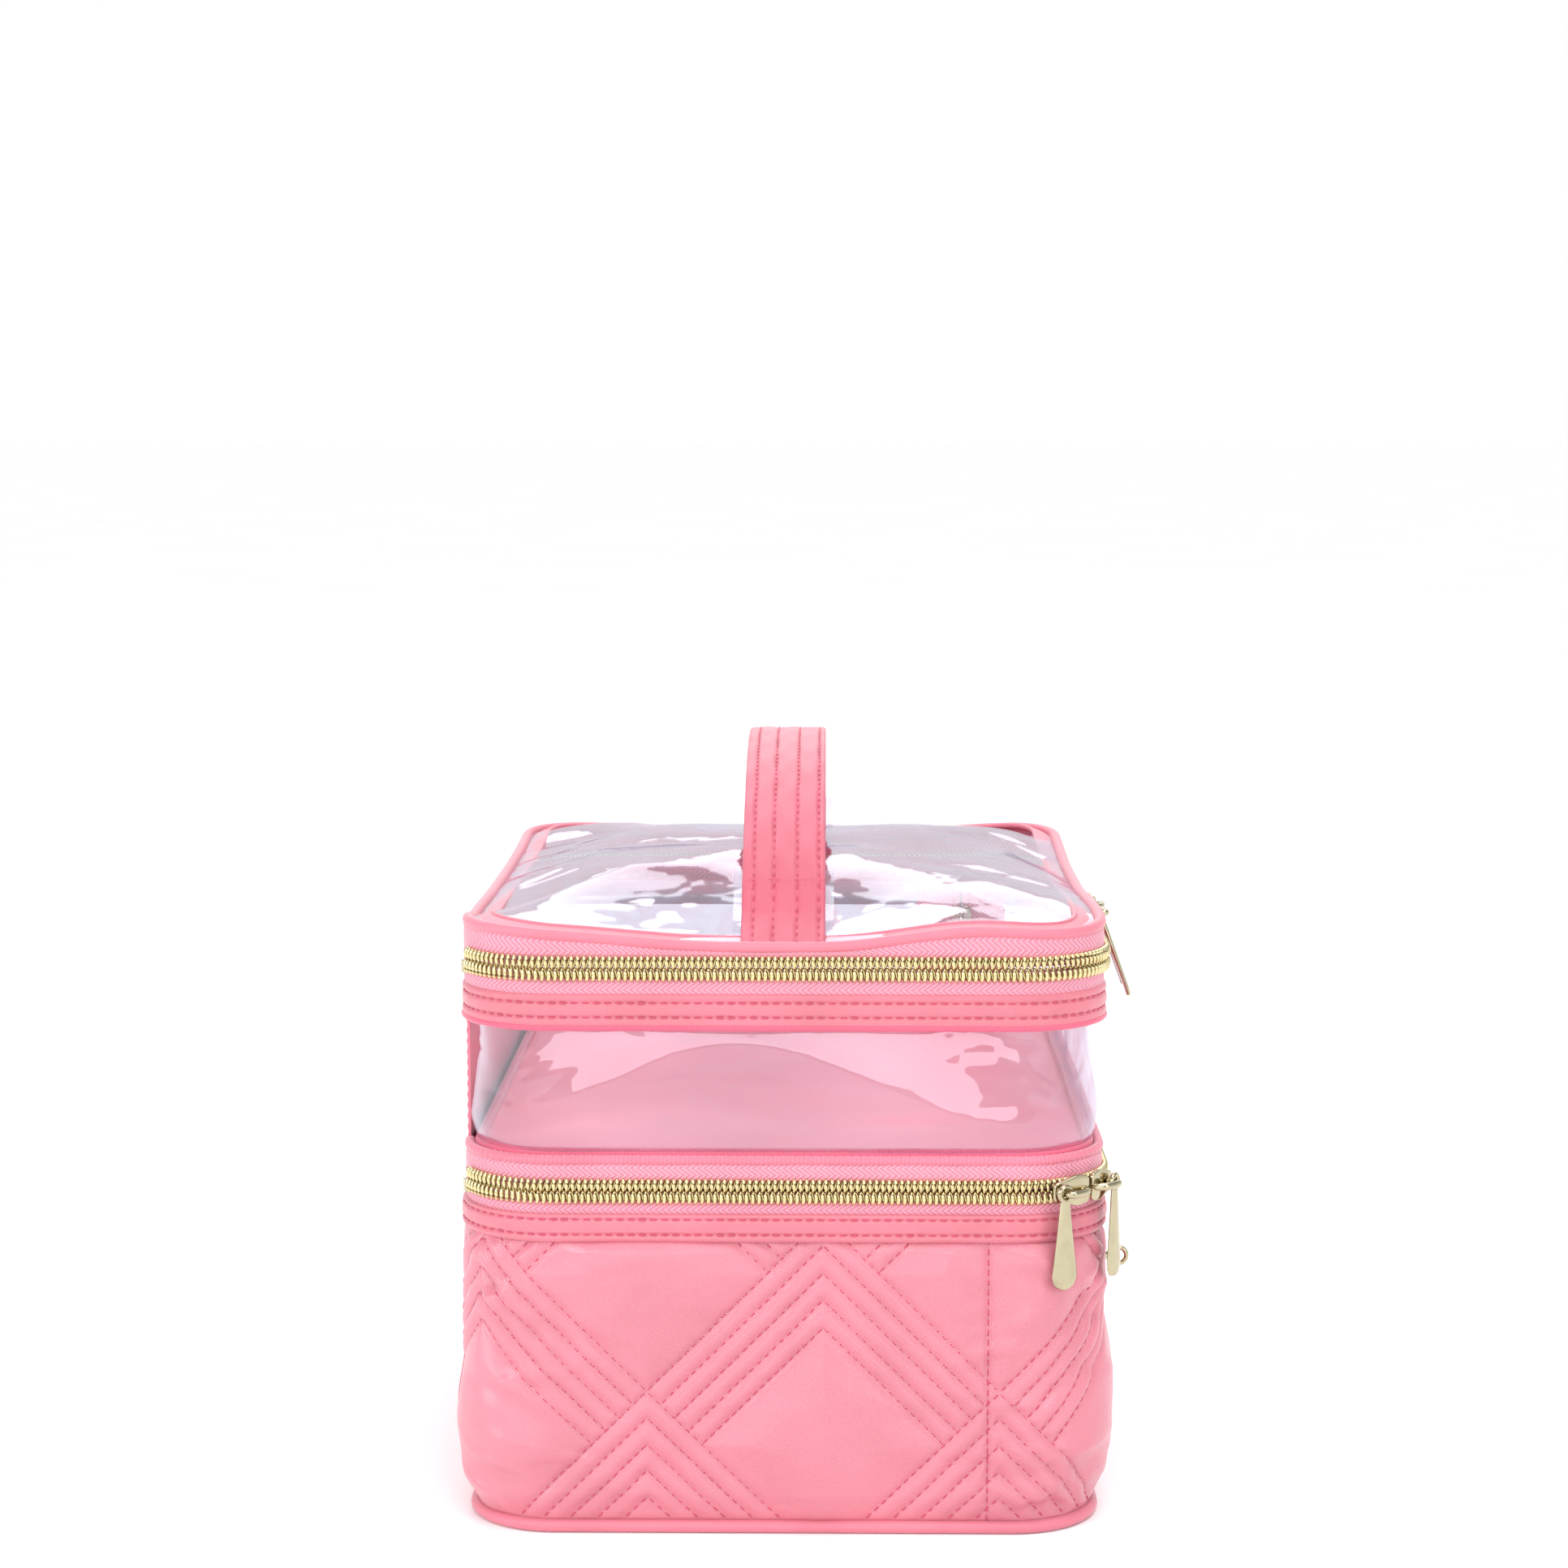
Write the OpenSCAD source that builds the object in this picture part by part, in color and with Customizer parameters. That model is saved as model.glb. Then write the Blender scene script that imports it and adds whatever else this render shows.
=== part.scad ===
// Two-deck makeup train case: a quilted lower case, a clear upper deck hinged on it, and a
// clear domed lid with a strap handle. X runs along the case, -Y is the front, +Z is up.
// The origin is on the floor, at the middle of the case's walls.

/* [Case] */
// Length of the case along its walls
case_w = 254; // [240:1:270]
// Depth of the case, front wall to back wall
case_d = 193; // [180:1:200]
// Radius of the four upright corners
corner_r = 28; // [26:0.5:30]
// Thickness of the padded lower wall
wall_t = 4.5; // [3:0.5:5]

/* [Levels] */
// Height of the lower zip's centre line
lower_zip_z = 104.8; // [95:0.1:115]
// Height of the upper zip's centre line above the lower one
deck_rise = 66.7; // [60:0.1:75]
// Height of the lid's crown above its rim
crown = 13.5; // [8:0.5:16]
// Height of the handle's top
handle_top = 230; // [225:1:235]

/* [Zips] */
// Height of one row of teeth
teeth_h = 3.6; // [3:0.1:4]
// How far the teeth stand out from the tape
teeth_t = 2.2; // [1.8:0.1:2.4]
// Gap between the two rows, where a slider's wedge runs
zip_gap = 1.2; // [1.2:0.1:1.6]
// Where the upper zip's two sliders meet, along the front
upper_meet_x = -6; // [-30:1:30]
// Corner angles of the lower zip's two sliders, from the left end's face
side_slider_deg = 33; // [30:1:34]
front_slider_deg = 59; // [58:1:62]

/* [Handle] */
// Width of the handle strap
strap_w = 25; // [20:1:30]
// Thickness of the handle strap
strap_t = 2.5; // [2:0.1:3]
// Radius of the handle's arch, at the strap's middle
arch_r = 170; // [165:1:180]

/* [Hidden] */
$fn = 48;

pink = "#f98fa6";
pink_tape = "#f58aa2";
gold = "#d9c98c";
clear = [0.86, 0.89, 0.95, 0.35];
white = "#e8e6e4";

upper_zip_z = lower_zip_z + deck_rise;
straight_x = case_w / 2 - corner_r;
straight_y = case_d / 2 - corner_r;

// Offsets of each skin from the wall line, outwards positive
tape_out = -0.2;
tape_in = -1.2;
teeth_out = tape_out + teeth_t;
clear_out = -3;
clear_t = 0.8;
dome_out = -3.3;

// Where the teeth end on the back corners, clear of the hinge line, and their stops' length
teeth_end_x = straight_x + 11.5;
stop_l = 3;

// Levels
base_cord_r = 2.5;
cord_r = 1.8;
base_t = 4;
board_t = 2;
lining_t = 0.8;
wall_top = lower_zip_z - 6.8;
band_h = 8.5;
divider_z = lower_zip_z + 5.2;
divider_cord_z = divider_z + 1 + cord_r;
divider_top_z = divider_z + 4.4;
band_top = upper_zip_z - 7.5;
upper_band_h = 10.5;
rim_z = upper_zip_z + 6.7;
lid_cord_z = rim_z + cord_r;
dome_z = rim_z + 2;

// Slider sizes: x along the track, y out of the wall, z up
slider_l = 13;
slider_h = 9.8;
plate_t = 1.2;
plate_in = teeth_out + 0.2;
plate_out = plate_in + plate_t;
bridge_out = 8;
bridge_under = 6.8;
post_x = 4;
post_r = 0.85;
inner_l = 10;
inner_out = -1.9;
pull_gap = 5.4;
pull_l = 29;
pull_t = 1.4;
eye_r = 2.9;
eye_hole_r = 1.25;
tip_r = 4.6;
upper_pull_lean = 20;

// Pocket inside the deck's right end
pocket_x = 114.5;
pocket_zip_y = -62;
pocket_half_w = 83;
pocket_tape_w = 32;
pocket_z0 = divider_top_z;
pocket_z1 = band_top - 1;
pocket_slider_z = 146;
pocket_pull_l = 16;

// Handle: its arch's centre, and where the sewn ends meet the moving strap
arch_z = handle_top - strap_t / 2 - arch_r;
strap_split_x = 96;
strap_bend_x = 110;
strap_end_x = case_w / 2 - 4;

// ---- outlines ----
module outline(out) {
    w = case_w + 2 * out;
    d = case_d + 2 * out;
    r = corner_r + out;
    square([w - 2 * r, d], center = true);
    square([w, d - 2 * r], center = true);
    for (sx = [-1, 1], sy = [-1, 1])
        translate([sx * (w / 2 - r), sy * (d / 2 - r)]) circle(r, $fn = 96);
}

module slab(out, z0, z1) {
    translate([0, 0, z0]) linear_extrude(z1 - z0) outline(out);
}

module back_zone(half_w) {
    translate([-half_w, 0]) square([2 * half_w, case_d]);
}

// A wall round the whole case, between two offsets
module ring(out, inn, z0, z1) {
    translate([0, 0, z0]) linear_extrude(z1 - z0)
        difference() {
            outline(out);
            outline(inn);
        }
}

// The same wall round the ends, the front and the corners, open across the back
module wrap(out, inn, z0, z1, open_half = straight_x) {
    translate([0, 0, z0]) linear_extrude(z1 - z0)
        difference() {
            outline(out);
            outline(inn);
            back_zone(open_half);
        }
}

// The straight stretch of wall across the back
module back(out, inn, z0, z1) {
    translate([-straight_x, case_d / 2 + inn, z0])
        cube([2 * straight_x, out - inn, z1 - z0]);
}

// A round cord along the outline; closed says whether it crosses the back
module cord(out, r, z, closed) {
    reach = corner_r + out;
    for (sx = [-1, 1])
        translate([sx * (case_w / 2 + out), straight_y, z])
            rotate([90, 0, 0]) cylinder(r = r, h = 2 * straight_y);
    for (sy = closed ? [-1, 1] : [-1])
        translate([-straight_x, sy * (case_d / 2 + out), z])
            rotate([0, 90, 0]) cylinder(r = r, h = 2 * straight_x);
    for (quarter = [[1, 1, 0], [-1, 1, 90], [-1, -1, 180], [1, -1, 270]])
        translate([quarter[0] * straight_x, quarter[1] * straight_y, z])
            rotate([0, 0, quarter[2]])
                rotate_extrude(angle = 90, $fn = 96) translate([reach, 0]) circle(r);
}

// Two metal stops at the ends of a row of teeth, on the back corners
module end_stops(z) {
    intersection() {
        wrap(tape_out + 1.8, tape_out, z - zip_gap / 2 - teeth_h, z - zip_gap / 2);
        for (sx = [-1, 1])
            translate([sx * (teeth_end_x - stop_l / 2) - stop_l / 2, 0, 0])
                cube([stop_l, case_d, z]);
    }
}

// ---- lower case ----
module base_panel() { color(pink) slab(-3.5, 0, base_t); }

module base_board() { color(white) slab(-5.5, base_t, base_t + board_t); }

module base_piping() { color(pink) cord(-0.9, base_cord_r, base_cord_r, true); }

module lower_wall() { color(pink) wrap(0, -wall_t, 2 * base_cord_r, wall_top); }

module lower_back_panel() {
    color(pink) back(0, -wall_t, 2 * base_cord_r, lower_zip_z - zip_gap / 2);
}

module lower_lining() {
    out = -wall_t - 0.1;
    floor_z = base_t + board_t;
    color(pink) {
        ring(out, out - lining_t, floor_z + lining_t, wall_top);
        slab(out, floor_z, floor_z + lining_t);
    }
}

module lower_band() { color(pink) wrap(1, 0, wall_top - band_h, wall_top); }

module lower_zip_tape_bottom() {
    color(pink_tape) wrap(tape_out, tape_in, wall_top, lower_zip_z - zip_gap / 2);
}

module teeth_below(z) {
    z1 = z - zip_gap / 2;
    color(gold) wrap(teeth_out, tape_out, z1 - teeth_h, z1, teeth_end_x);
}

module teeth_above(z) {
    z0 = z + zip_gap / 2;
    color(gold) wrap(teeth_out, tape_out, z0, z0 + teeth_h, teeth_end_x);
}

// A small ring that hangs on the front wall, linked through the eye of its plate
charm_x = -60;
charm_z = 68.7;
charm_out = 7.5;
charm_wire_r = 0.75;
charm_loop_r = 2.6;
charm_plate_t = 1.2;
charm_bar_out = 6.9;
charm_bar_r = 0.7;
charm_eye_w = 5.2;

module charm_ring() {
    color(gold) translate([charm_x, -case_d / 2 - charm_plate_t - charm_out, charm_z])
        rotate([0, 90, 0]) rotate_extrude() translate([charm_loop_r, 0]) circle(charm_wire_r);
}

module charm_ring_plate() {
    arm_w = 1.4;
    color(gold) translate([charm_x, -case_d / 2, charm_z]) {
        translate([-4, -charm_plate_t, -4.5]) cube([8, charm_plate_t, 9]);
        translate([-charm_eye_w / 2, -charm_plate_t - charm_bar_out, 0])
            rotate([0, 90, 0]) cylinder(r = charm_bar_r, h = charm_eye_w);
        for (sx = [-1, 1])
            translate([sx * (charm_eye_w / 2 - arm_w / 2) - arm_w / 2,
                       -charm_plate_t - charm_bar_out, -charm_bar_r])
                cube([arm_w, charm_bar_out + 0.1, 2 * charm_bar_r]);
    }
}

// ---- upper deck ----
module divider_lining() { color(pink) slab(tape_in, divider_z, divider_z + lining_t); }

module divider_board() {
    color(white) slab(clear_out, divider_z + lining_t, divider_z + lining_t + 1.8);
}

module divider_top() { color(pink) slab(clear_out, divider_z + lining_t + 1.8, divider_top_z); }

module divider_piping() { color(pink) cord(-1, cord_r, divider_cord_z, false); }

module lower_zip_tape_top() {
    color(pink_tape) wrap(tape_out, tape_in, lower_zip_z + zip_gap / 2, divider_z + 1);
}

module clear_wall() { color(clear) wrap(clear_out, clear_out - clear_t, divider_top_z, band_top); }

module upper_back_panel() {
    color(pink) back(tape_out, tape_in, lower_zip_z + zip_gap / 2, upper_zip_z - zip_gap / 2);
}

module upper_band() {
    color(pink) wrap(tape_out, clear_out, band_top - upper_band_h, band_top);
}

module upper_zip_tape_bottom() {
    color(pink_tape) wrap(tape_out, tape_in, band_top, upper_zip_z - zip_gap / 2);
}

// ---- zip pocket across the deck's right end ----
module pocket_panel() {
    tape_half = pocket_tape_w / 2;
    color(clear) for (run = [[-pocket_half_w, pocket_zip_y - tape_half + 6],
                             [pocket_zip_y + tape_half - 6, pocket_half_w]])
        translate([pocket_x + 1.2, run[0], pocket_z0])
            cube([clear_t, run[1] - run[0], pocket_z1 - pocket_z0]);
}

// One solid on each side of the pocket zip's slit
module pocket_strips(x, t, width) {
    for (s = [-1, 1])
        translate([x, pocket_zip_y + s * (width / 2 + zip_gap / 2) - width / 2, pocket_z0])
            cube([t, width, pocket_z1 - pocket_z0]);
}

module pocket_zip_tape() {
    color(pink_tape) pocket_strips(pocket_x + 0.2, 1, pocket_tape_w / 2 - zip_gap / 2);
}

module pocket_zip_teeth() { color(gold) pocket_strips(pocket_x + 1.2, 1.8, 2.4); }

module pocket_slider() {
    color(gold) translate([pocket_x, pocket_zip_y, pocket_slider_z]) {
        translate([-1.4, -4, -5.5]) cube([1.4, 8, 11]);
        translate([-0.1, -0.5, 1]) cube([3.5, 1, 3.5]);
        translate([3.3, -4, -5]) cube([1, 8, 9.5]);
        rotate([90, 0, 0]) linear_extrude(2, center = true)
            polygon([[-1.4, 4], [-1.4, 5], [-4, 4.2], [-5, 2.5], [-5, -2.5], [-4, -4.2],
                     [-1.4, -5], [-1.4, -4], [-3.2, -3.2], [-3.9, -2], [-3.9, 2], [-3.2, 3.2]]);
    }
}

// The pull's bar passes through the slider's bridge
module pocket_pull() {
    color(gold) translate([pocket_x - 3, pocket_zip_y, pocket_slider_z]) {
        translate([0, 0, -2]) rotate([90, 0, 0]) cylinder(r = 0.6, h = 8.6, center = true);
        for (s = [-1, 1])
            translate([-0.7, s * 3.7 - 0.6, -9]) cube([1.4, 1.2, 7.4]);
        translate([-0.7, -4.3, -pocket_pull_l]) cube([1.4, 8.6, pocket_pull_l - 9]);
    }
}

// ---- lid ----
dome_corner_steps = 6;
dome_rings = 9;
dome_power = 2.2;

// Points round the dome's rim: the corner arcs, joined by straight runs with points between
function corner_points(sx, sy, start) = [
    for (i = [0:dome_corner_steps])
        let (a = start + 90 * i / dome_corner_steps, r = corner_r + dome_out)
        [sx * straight_x + r * cos(a), sy * straight_y + r * sin(a)]
];
function between(a, b, n) = [for (i = [1:n - 1]) a + (b - a) * i / n];
function rim_points() =
    let (c = [corner_points(1, 1, 0), corner_points(-1, 1, 90),
              corner_points(-1, -1, 180), corner_points(1, -1, 270)])
    [for (k = [0:3]) each concat(
        c[k], between(c[k][dome_corner_steps], c[(k + 1) % 4][0], k % 2 == 0 ? 8 : 6))];
function dome_height(s) = dome_z + crown * (1 - pow(s, dome_power));

module clear_top() {
    rim = rim_points();
    n = len(rim);
    shells = [for (drop = [0, -clear_t], k = [dome_rings:-1:1])
        let (s = k / dome_rings)
        each [for (p = rim) [p[0] * s, p[1] * s, dome_height(s) + clear_t + drop]]];
    peaks = [[0, 0, dome_height(0) + clear_t], [0, 0, dome_height(0)]];
    under = n * dome_rings;
    last = n * (dome_rings - 1);
    bands = [for (k = [0:dome_rings - 2], i = [0:n - 1])
        let (j = (i + 1) % n, a = k * n, b = a + n)
        each [[a + i, b + i, b + j], [a + i, b + j, a + j],
              [under + a + i, under + b + j, under + b + i],
              [under + a + i, under + a + j, under + b + j]]];
    caps = [for (i = [0:n - 1])
        let (j = (i + 1) % n)
        each [[last + i, 2 * under, last + j],
              [under + last + i, under + last + j, 2 * under + 1],
              [i, j, under + j], [i, under + j, under + i]]];
    color(clear) polyhedron(concat(shells, peaks), concat(bands, caps));
}

module lid_piping() { color(pink) cord(-1.4, cord_r, lid_cord_z, true); }

module lid_back_strip() { color(pink) back(tape_out, -2.2, upper_zip_z + zip_gap / 2, rim_z); }

module upper_zip_tape_top() {
    color(pink_tape) wrap(tape_out, tape_in, upper_zip_z + zip_gap / 2, rim_z);
}

// ---- handle ----
function arch_height(x) = arch_z + sqrt(arch_r * arch_r - x * x);

// The sewn end of the strap, from the rim up to the moving arch
module handle_end(side) {
    half = strap_t / 2;
    slope_t = half * 1.28;
    path = [[strap_end_x, dome_z + 3.6], [strap_bend_x, arch_height(strap_bend_x) + 0.3],
            [strap_split_x + 1, arch_height(strap_split_x + 1)]];
    color(pink) mirror([side < 0 ? 1 : 0, 0, 0])
        rotate([90, 0, 0]) linear_extrude(strap_w, center = true)
            polygon(concat([for (p = path) [p[0], p[1] + slope_t]],
                           [for (i = [2:-1:0]) [path[i][0], path[i][1] - slope_t]]));
}

// Clear sheets under the sewn ends, a little wider than the strap
module handle_patches() {
    z0 = dome_height(strap_bend_x / strap_end_x) + clear_t;
    color(clear) for (side = [0, 1])
        mirror([side, 0, 0]) rotate([90, 0, 0]) linear_extrude(strap_w + 5, center = true)
            polygon([[strap_end_x, dome_z + 1.1], [strap_bend_x, z0 + 0.7],
                     [strap_bend_x, z0 + 1.3], [strap_end_x, dome_z + 1.7]]);
}

module handle_strap() {
    half_deg = asin(strap_split_x / arch_r);
    color(pink) translate([0, 0, arch_z]) rotate([90, 0, 0])
        rotate([0, 0, 90 - half_deg]) rotate_extrude(angle = 2 * half_deg, $fn = 180)
            translate([arch_r, 0]) square([strap_t, strap_w], center = true);
}

// ---- sliders and pulls ----
// nose is the sign of the local x direction that the slider's nose points in
module slider(nose) {
    mirror([nose < 0 ? 1 : 0, 0, 0]) {
        translate([-slider_l / 2, plate_in, -slider_h / 2]) cube([slider_l, plate_t, slider_h]);
        translate([-inner_l / 2, inner_out - plate_t, -slider_h / 2])
            cube([inner_l, plate_t, slider_h]);
        translate([0.5, inner_out - 0.1, -0.5]) cube([4, plate_in - inner_out + 0.2, 1]);
        translate([-post_x, plate_out - 0.1, 0]) rotate([-90, 0, 0])
            cylinder(r = post_r, h = bridge_out - plate_out);
        linear_extrude(2.2, center = true)
            polygon([[-post_x - 1.1, bridge_under], [-post_x - 1.1, bridge_out], [1.5, bridge_out],
                     [5.5, 4.6], [5.5, plate_out - 0.1], [2.6, plate_out - 0.1],
                     [2.2, 4.4], [0.6, bridge_under]]);
    }
}

function arc(y, r, start, end) = [
    for (i = [0:16]) let (a = start + (end - start) * i / 16) [r * cos(a), y + r * sin(a)]
];

// The pull hangs from the slider's post, with its eye round it
module pull(nose, lean) {
    translate([-nose * post_x, pull_gap, 0]) rotate([lean, 0, 0]) rotate([90, 0, 0])
        difference() {
            linear_extrude(pull_t, center = true)
                polygon(concat(arc(0, eye_r, -50, 230), arc(tip_r - pull_l, tip_r, 175, 365)));
            cylinder(r = eye_hole_r, h = 2 * pull_t, center = true);
        }
}

module on_front(x, z) { translate([x, -case_d / 2, z]) rotate([0, 0, 180]) children(); }

// On the front left corner, at an angle from the left end's face
module on_corner(deg, z) {
    translate([-straight_x, -straight_y, z]) rotate([0, 0, 90 + deg])
        translate([0, corner_r, 0]) children();
}

meet = slider_l / 2 + 0.4;

module upper_slider_left() { color(gold) on_front(upper_meet_x - meet, upper_zip_z) slider(-1); }
module upper_slider_right() { color(gold) on_front(upper_meet_x + meet, upper_zip_z) slider(1); }
module lower_slider_side() { color(gold) on_corner(side_slider_deg, lower_zip_z) slider(-1); }
module lower_slider_front() { color(gold) on_corner(front_slider_deg, lower_zip_z) slider(1); }

module upper_pull_left() {
    color(gold) on_front(upper_meet_x - meet, upper_zip_z) pull(-1, upper_pull_lean);
}
module upper_pull_right() {
    color(gold) on_front(upper_meet_x + meet, upper_zip_z) pull(1, upper_pull_lean);
}
module lower_pull_side() { color(gold) on_corner(side_slider_deg, lower_zip_z) pull(-1, 0); }
module lower_pull_front() { color(gold) on_corner(front_slider_deg, lower_zip_z) pull(1, 0); }

base_panel();
base_board();
base_piping();
lower_wall();
lower_back_panel();
lower_lining();
lower_band();
lower_zip_tape_bottom();
teeth_below(lower_zip_z);  // lower_zip_teeth_bottom
color(gold) end_stops(lower_zip_z);  // lower_zip_end_stops
charm_ring();
charm_ring_plate();
divider_top();
divider_board();
divider_lining();
divider_piping();
clear_wall();
upper_back_panel();
lower_zip_tape_top();
teeth_above(lower_zip_z);  // lower_zip_teeth_top
upper_band();
upper_zip_tape_bottom();
teeth_below(upper_zip_z);  // upper_zip_teeth_bottom
color(gold) end_stops(upper_zip_z);  // upper_zip_end_stops
pocket_panel();
pocket_zip_tape();
pocket_zip_teeth();
pocket_slider();
pocket_pull();
clear_top();
lid_piping();
lid_back_strip();
upper_zip_tape_top();
teeth_above(upper_zip_z);  // upper_zip_teeth_top
handle_end(-1);  // handle_end_left
handle_end(1);  // handle_end_right
handle_patches();
handle_strap();
upper_slider_left();
upper_pull_left();
upper_slider_right();
upper_pull_right();
lower_slider_side();
lower_pull_side();
lower_slider_front();
lower_pull_front();
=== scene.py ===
import math

import bpy
import numpy as np
from mathutils import Matrix, Vector


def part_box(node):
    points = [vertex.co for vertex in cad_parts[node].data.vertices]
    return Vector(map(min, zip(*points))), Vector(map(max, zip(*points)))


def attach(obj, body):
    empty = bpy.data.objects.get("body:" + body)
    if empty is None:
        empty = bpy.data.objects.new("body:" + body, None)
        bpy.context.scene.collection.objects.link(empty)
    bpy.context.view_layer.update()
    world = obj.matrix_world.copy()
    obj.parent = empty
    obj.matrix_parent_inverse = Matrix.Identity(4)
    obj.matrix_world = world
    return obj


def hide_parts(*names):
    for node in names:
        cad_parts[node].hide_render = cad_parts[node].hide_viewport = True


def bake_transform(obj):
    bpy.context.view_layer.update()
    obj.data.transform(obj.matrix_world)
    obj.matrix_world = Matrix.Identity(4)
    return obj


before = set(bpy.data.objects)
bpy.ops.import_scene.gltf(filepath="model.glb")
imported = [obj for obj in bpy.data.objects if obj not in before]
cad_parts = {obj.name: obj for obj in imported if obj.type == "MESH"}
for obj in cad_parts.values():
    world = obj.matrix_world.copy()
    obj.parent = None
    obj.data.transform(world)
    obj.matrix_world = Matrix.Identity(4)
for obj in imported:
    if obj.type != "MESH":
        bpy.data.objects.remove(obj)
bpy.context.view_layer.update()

# A two-deck makeup train case. Lengths are written in millimetres times MM.
# The case's wall is a rounded rectangle, called the track: s runs along it from the middle
# of the left end towards the front, and "out" is the distance outwards from it.
MM = 0.001


# ---- sizes, from the frame
def mid_gap(below, above):
    return (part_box(below)[1][2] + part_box(above)[0][2]) / 2


HALF_X, HALF_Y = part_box("lower_wall")[1][0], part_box("lower_wall")[1][1]
CORNER = 28 * MM
STRAIGHT_X, STRAIGHT_Y = HALF_X - CORNER, HALF_Y - CORNER
ARC = math.pi / 2 * CORNER
LOWER_SEAM = mid_gap("lower_zip_teeth_bottom", "lower_zip_teeth_top")
UPPER_SEAM = mid_gap("upper_zip_teeth_bottom", "upper_zip_teeth_top")
WALL_LOW, WALL_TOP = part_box("lower_wall")[0][2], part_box("lower_wall")[1][2]
LOWER_BAND_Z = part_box("lower_band")[0][2]
UPPER_BAND = (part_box("upper_band")[0][2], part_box("upper_band")[1][2])
DECK_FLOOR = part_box("divider_top")[1][2]
RIM_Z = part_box("lid_piping")[0][2]
DOME_Z, DOME_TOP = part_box("clear_top")[0][2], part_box("clear_top")[1][2]
HANDLE_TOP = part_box("handle_strap")[1][2]

# Track knots: arc length, the angle of the outward normal, and the corner centre it turns about
LEGS = np.array([0, ARC, 2 * STRAIGHT_Y, ARC, 2 * STRAIGHT_X, ARC, 2 * STRAIGHT_Y, ARC, 2 * STRAIGHT_X])
KNOT_S = np.cumsum(LEGS) - (STRAIGHT_Y + ARC)
KNOT_A = np.radians([90, 180, 180, 270, 270, 360, 360, 450, 450])
KNOT_X = STRAIGHT_X * np.array([-1, -1, -1, -1, 1, 1, 1, 1, -1])
KNOT_Y = STRAIGHT_Y * np.array([1, 1, -1, -1, -1, -1, 1, 1, 1])
S_START, S_BACK, S_LOOP = KNOT_S[0], KNOT_S[7], KNOT_S[8]
TEETH_CUT = 12 * MM


def join(*parts):
    """Arrays or numbers side by side along a new last axis."""
    return np.stack(np.broadcast_arrays(*parts), -1)


def track(s, out, z):
    """World points at arc length s, outward offset out and height z. Arrays broadcast."""
    a = np.interp(s, KNOT_S, KNOT_A)
    x = np.interp(s, KNOT_S, KNOT_X) + np.cos(a) * (CORNER + out)
    y = np.interp(s, KNOT_S, KNOT_Y) + np.sin(a) * (CORNER + out)
    return join(x, y, z)


def track_axes(s):
    """The outward normal and the direction of travel at s."""
    a = np.interp(s, KNOT_S, KNOT_A)
    return join(np.cos(a), np.sin(a), 0), join(-np.sin(a), np.cos(a), 0)


def even_steps(s0, s1, step=2 * MM):
    return np.linspace(s0, s1, int((s1 - s0) / step) + 1)


def around(count):
    """Angles evenly spaced round a circle."""
    return np.linspace(0, 2 * math.pi, count, endpoint=False)


def near_corner(s, reach):
    """1 at the middle of each corner's arc, falling off over reach to either side."""
    middles = np.array([KNOT_S[0], KNOT_S[2], KNOT_S[4], KNOT_S[6]]) + ARC / 2
    d = np.min(np.abs(np.asarray(s)[..., None] - middles), -1)
    return np.exp(-((d / reach) ** 2))


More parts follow.
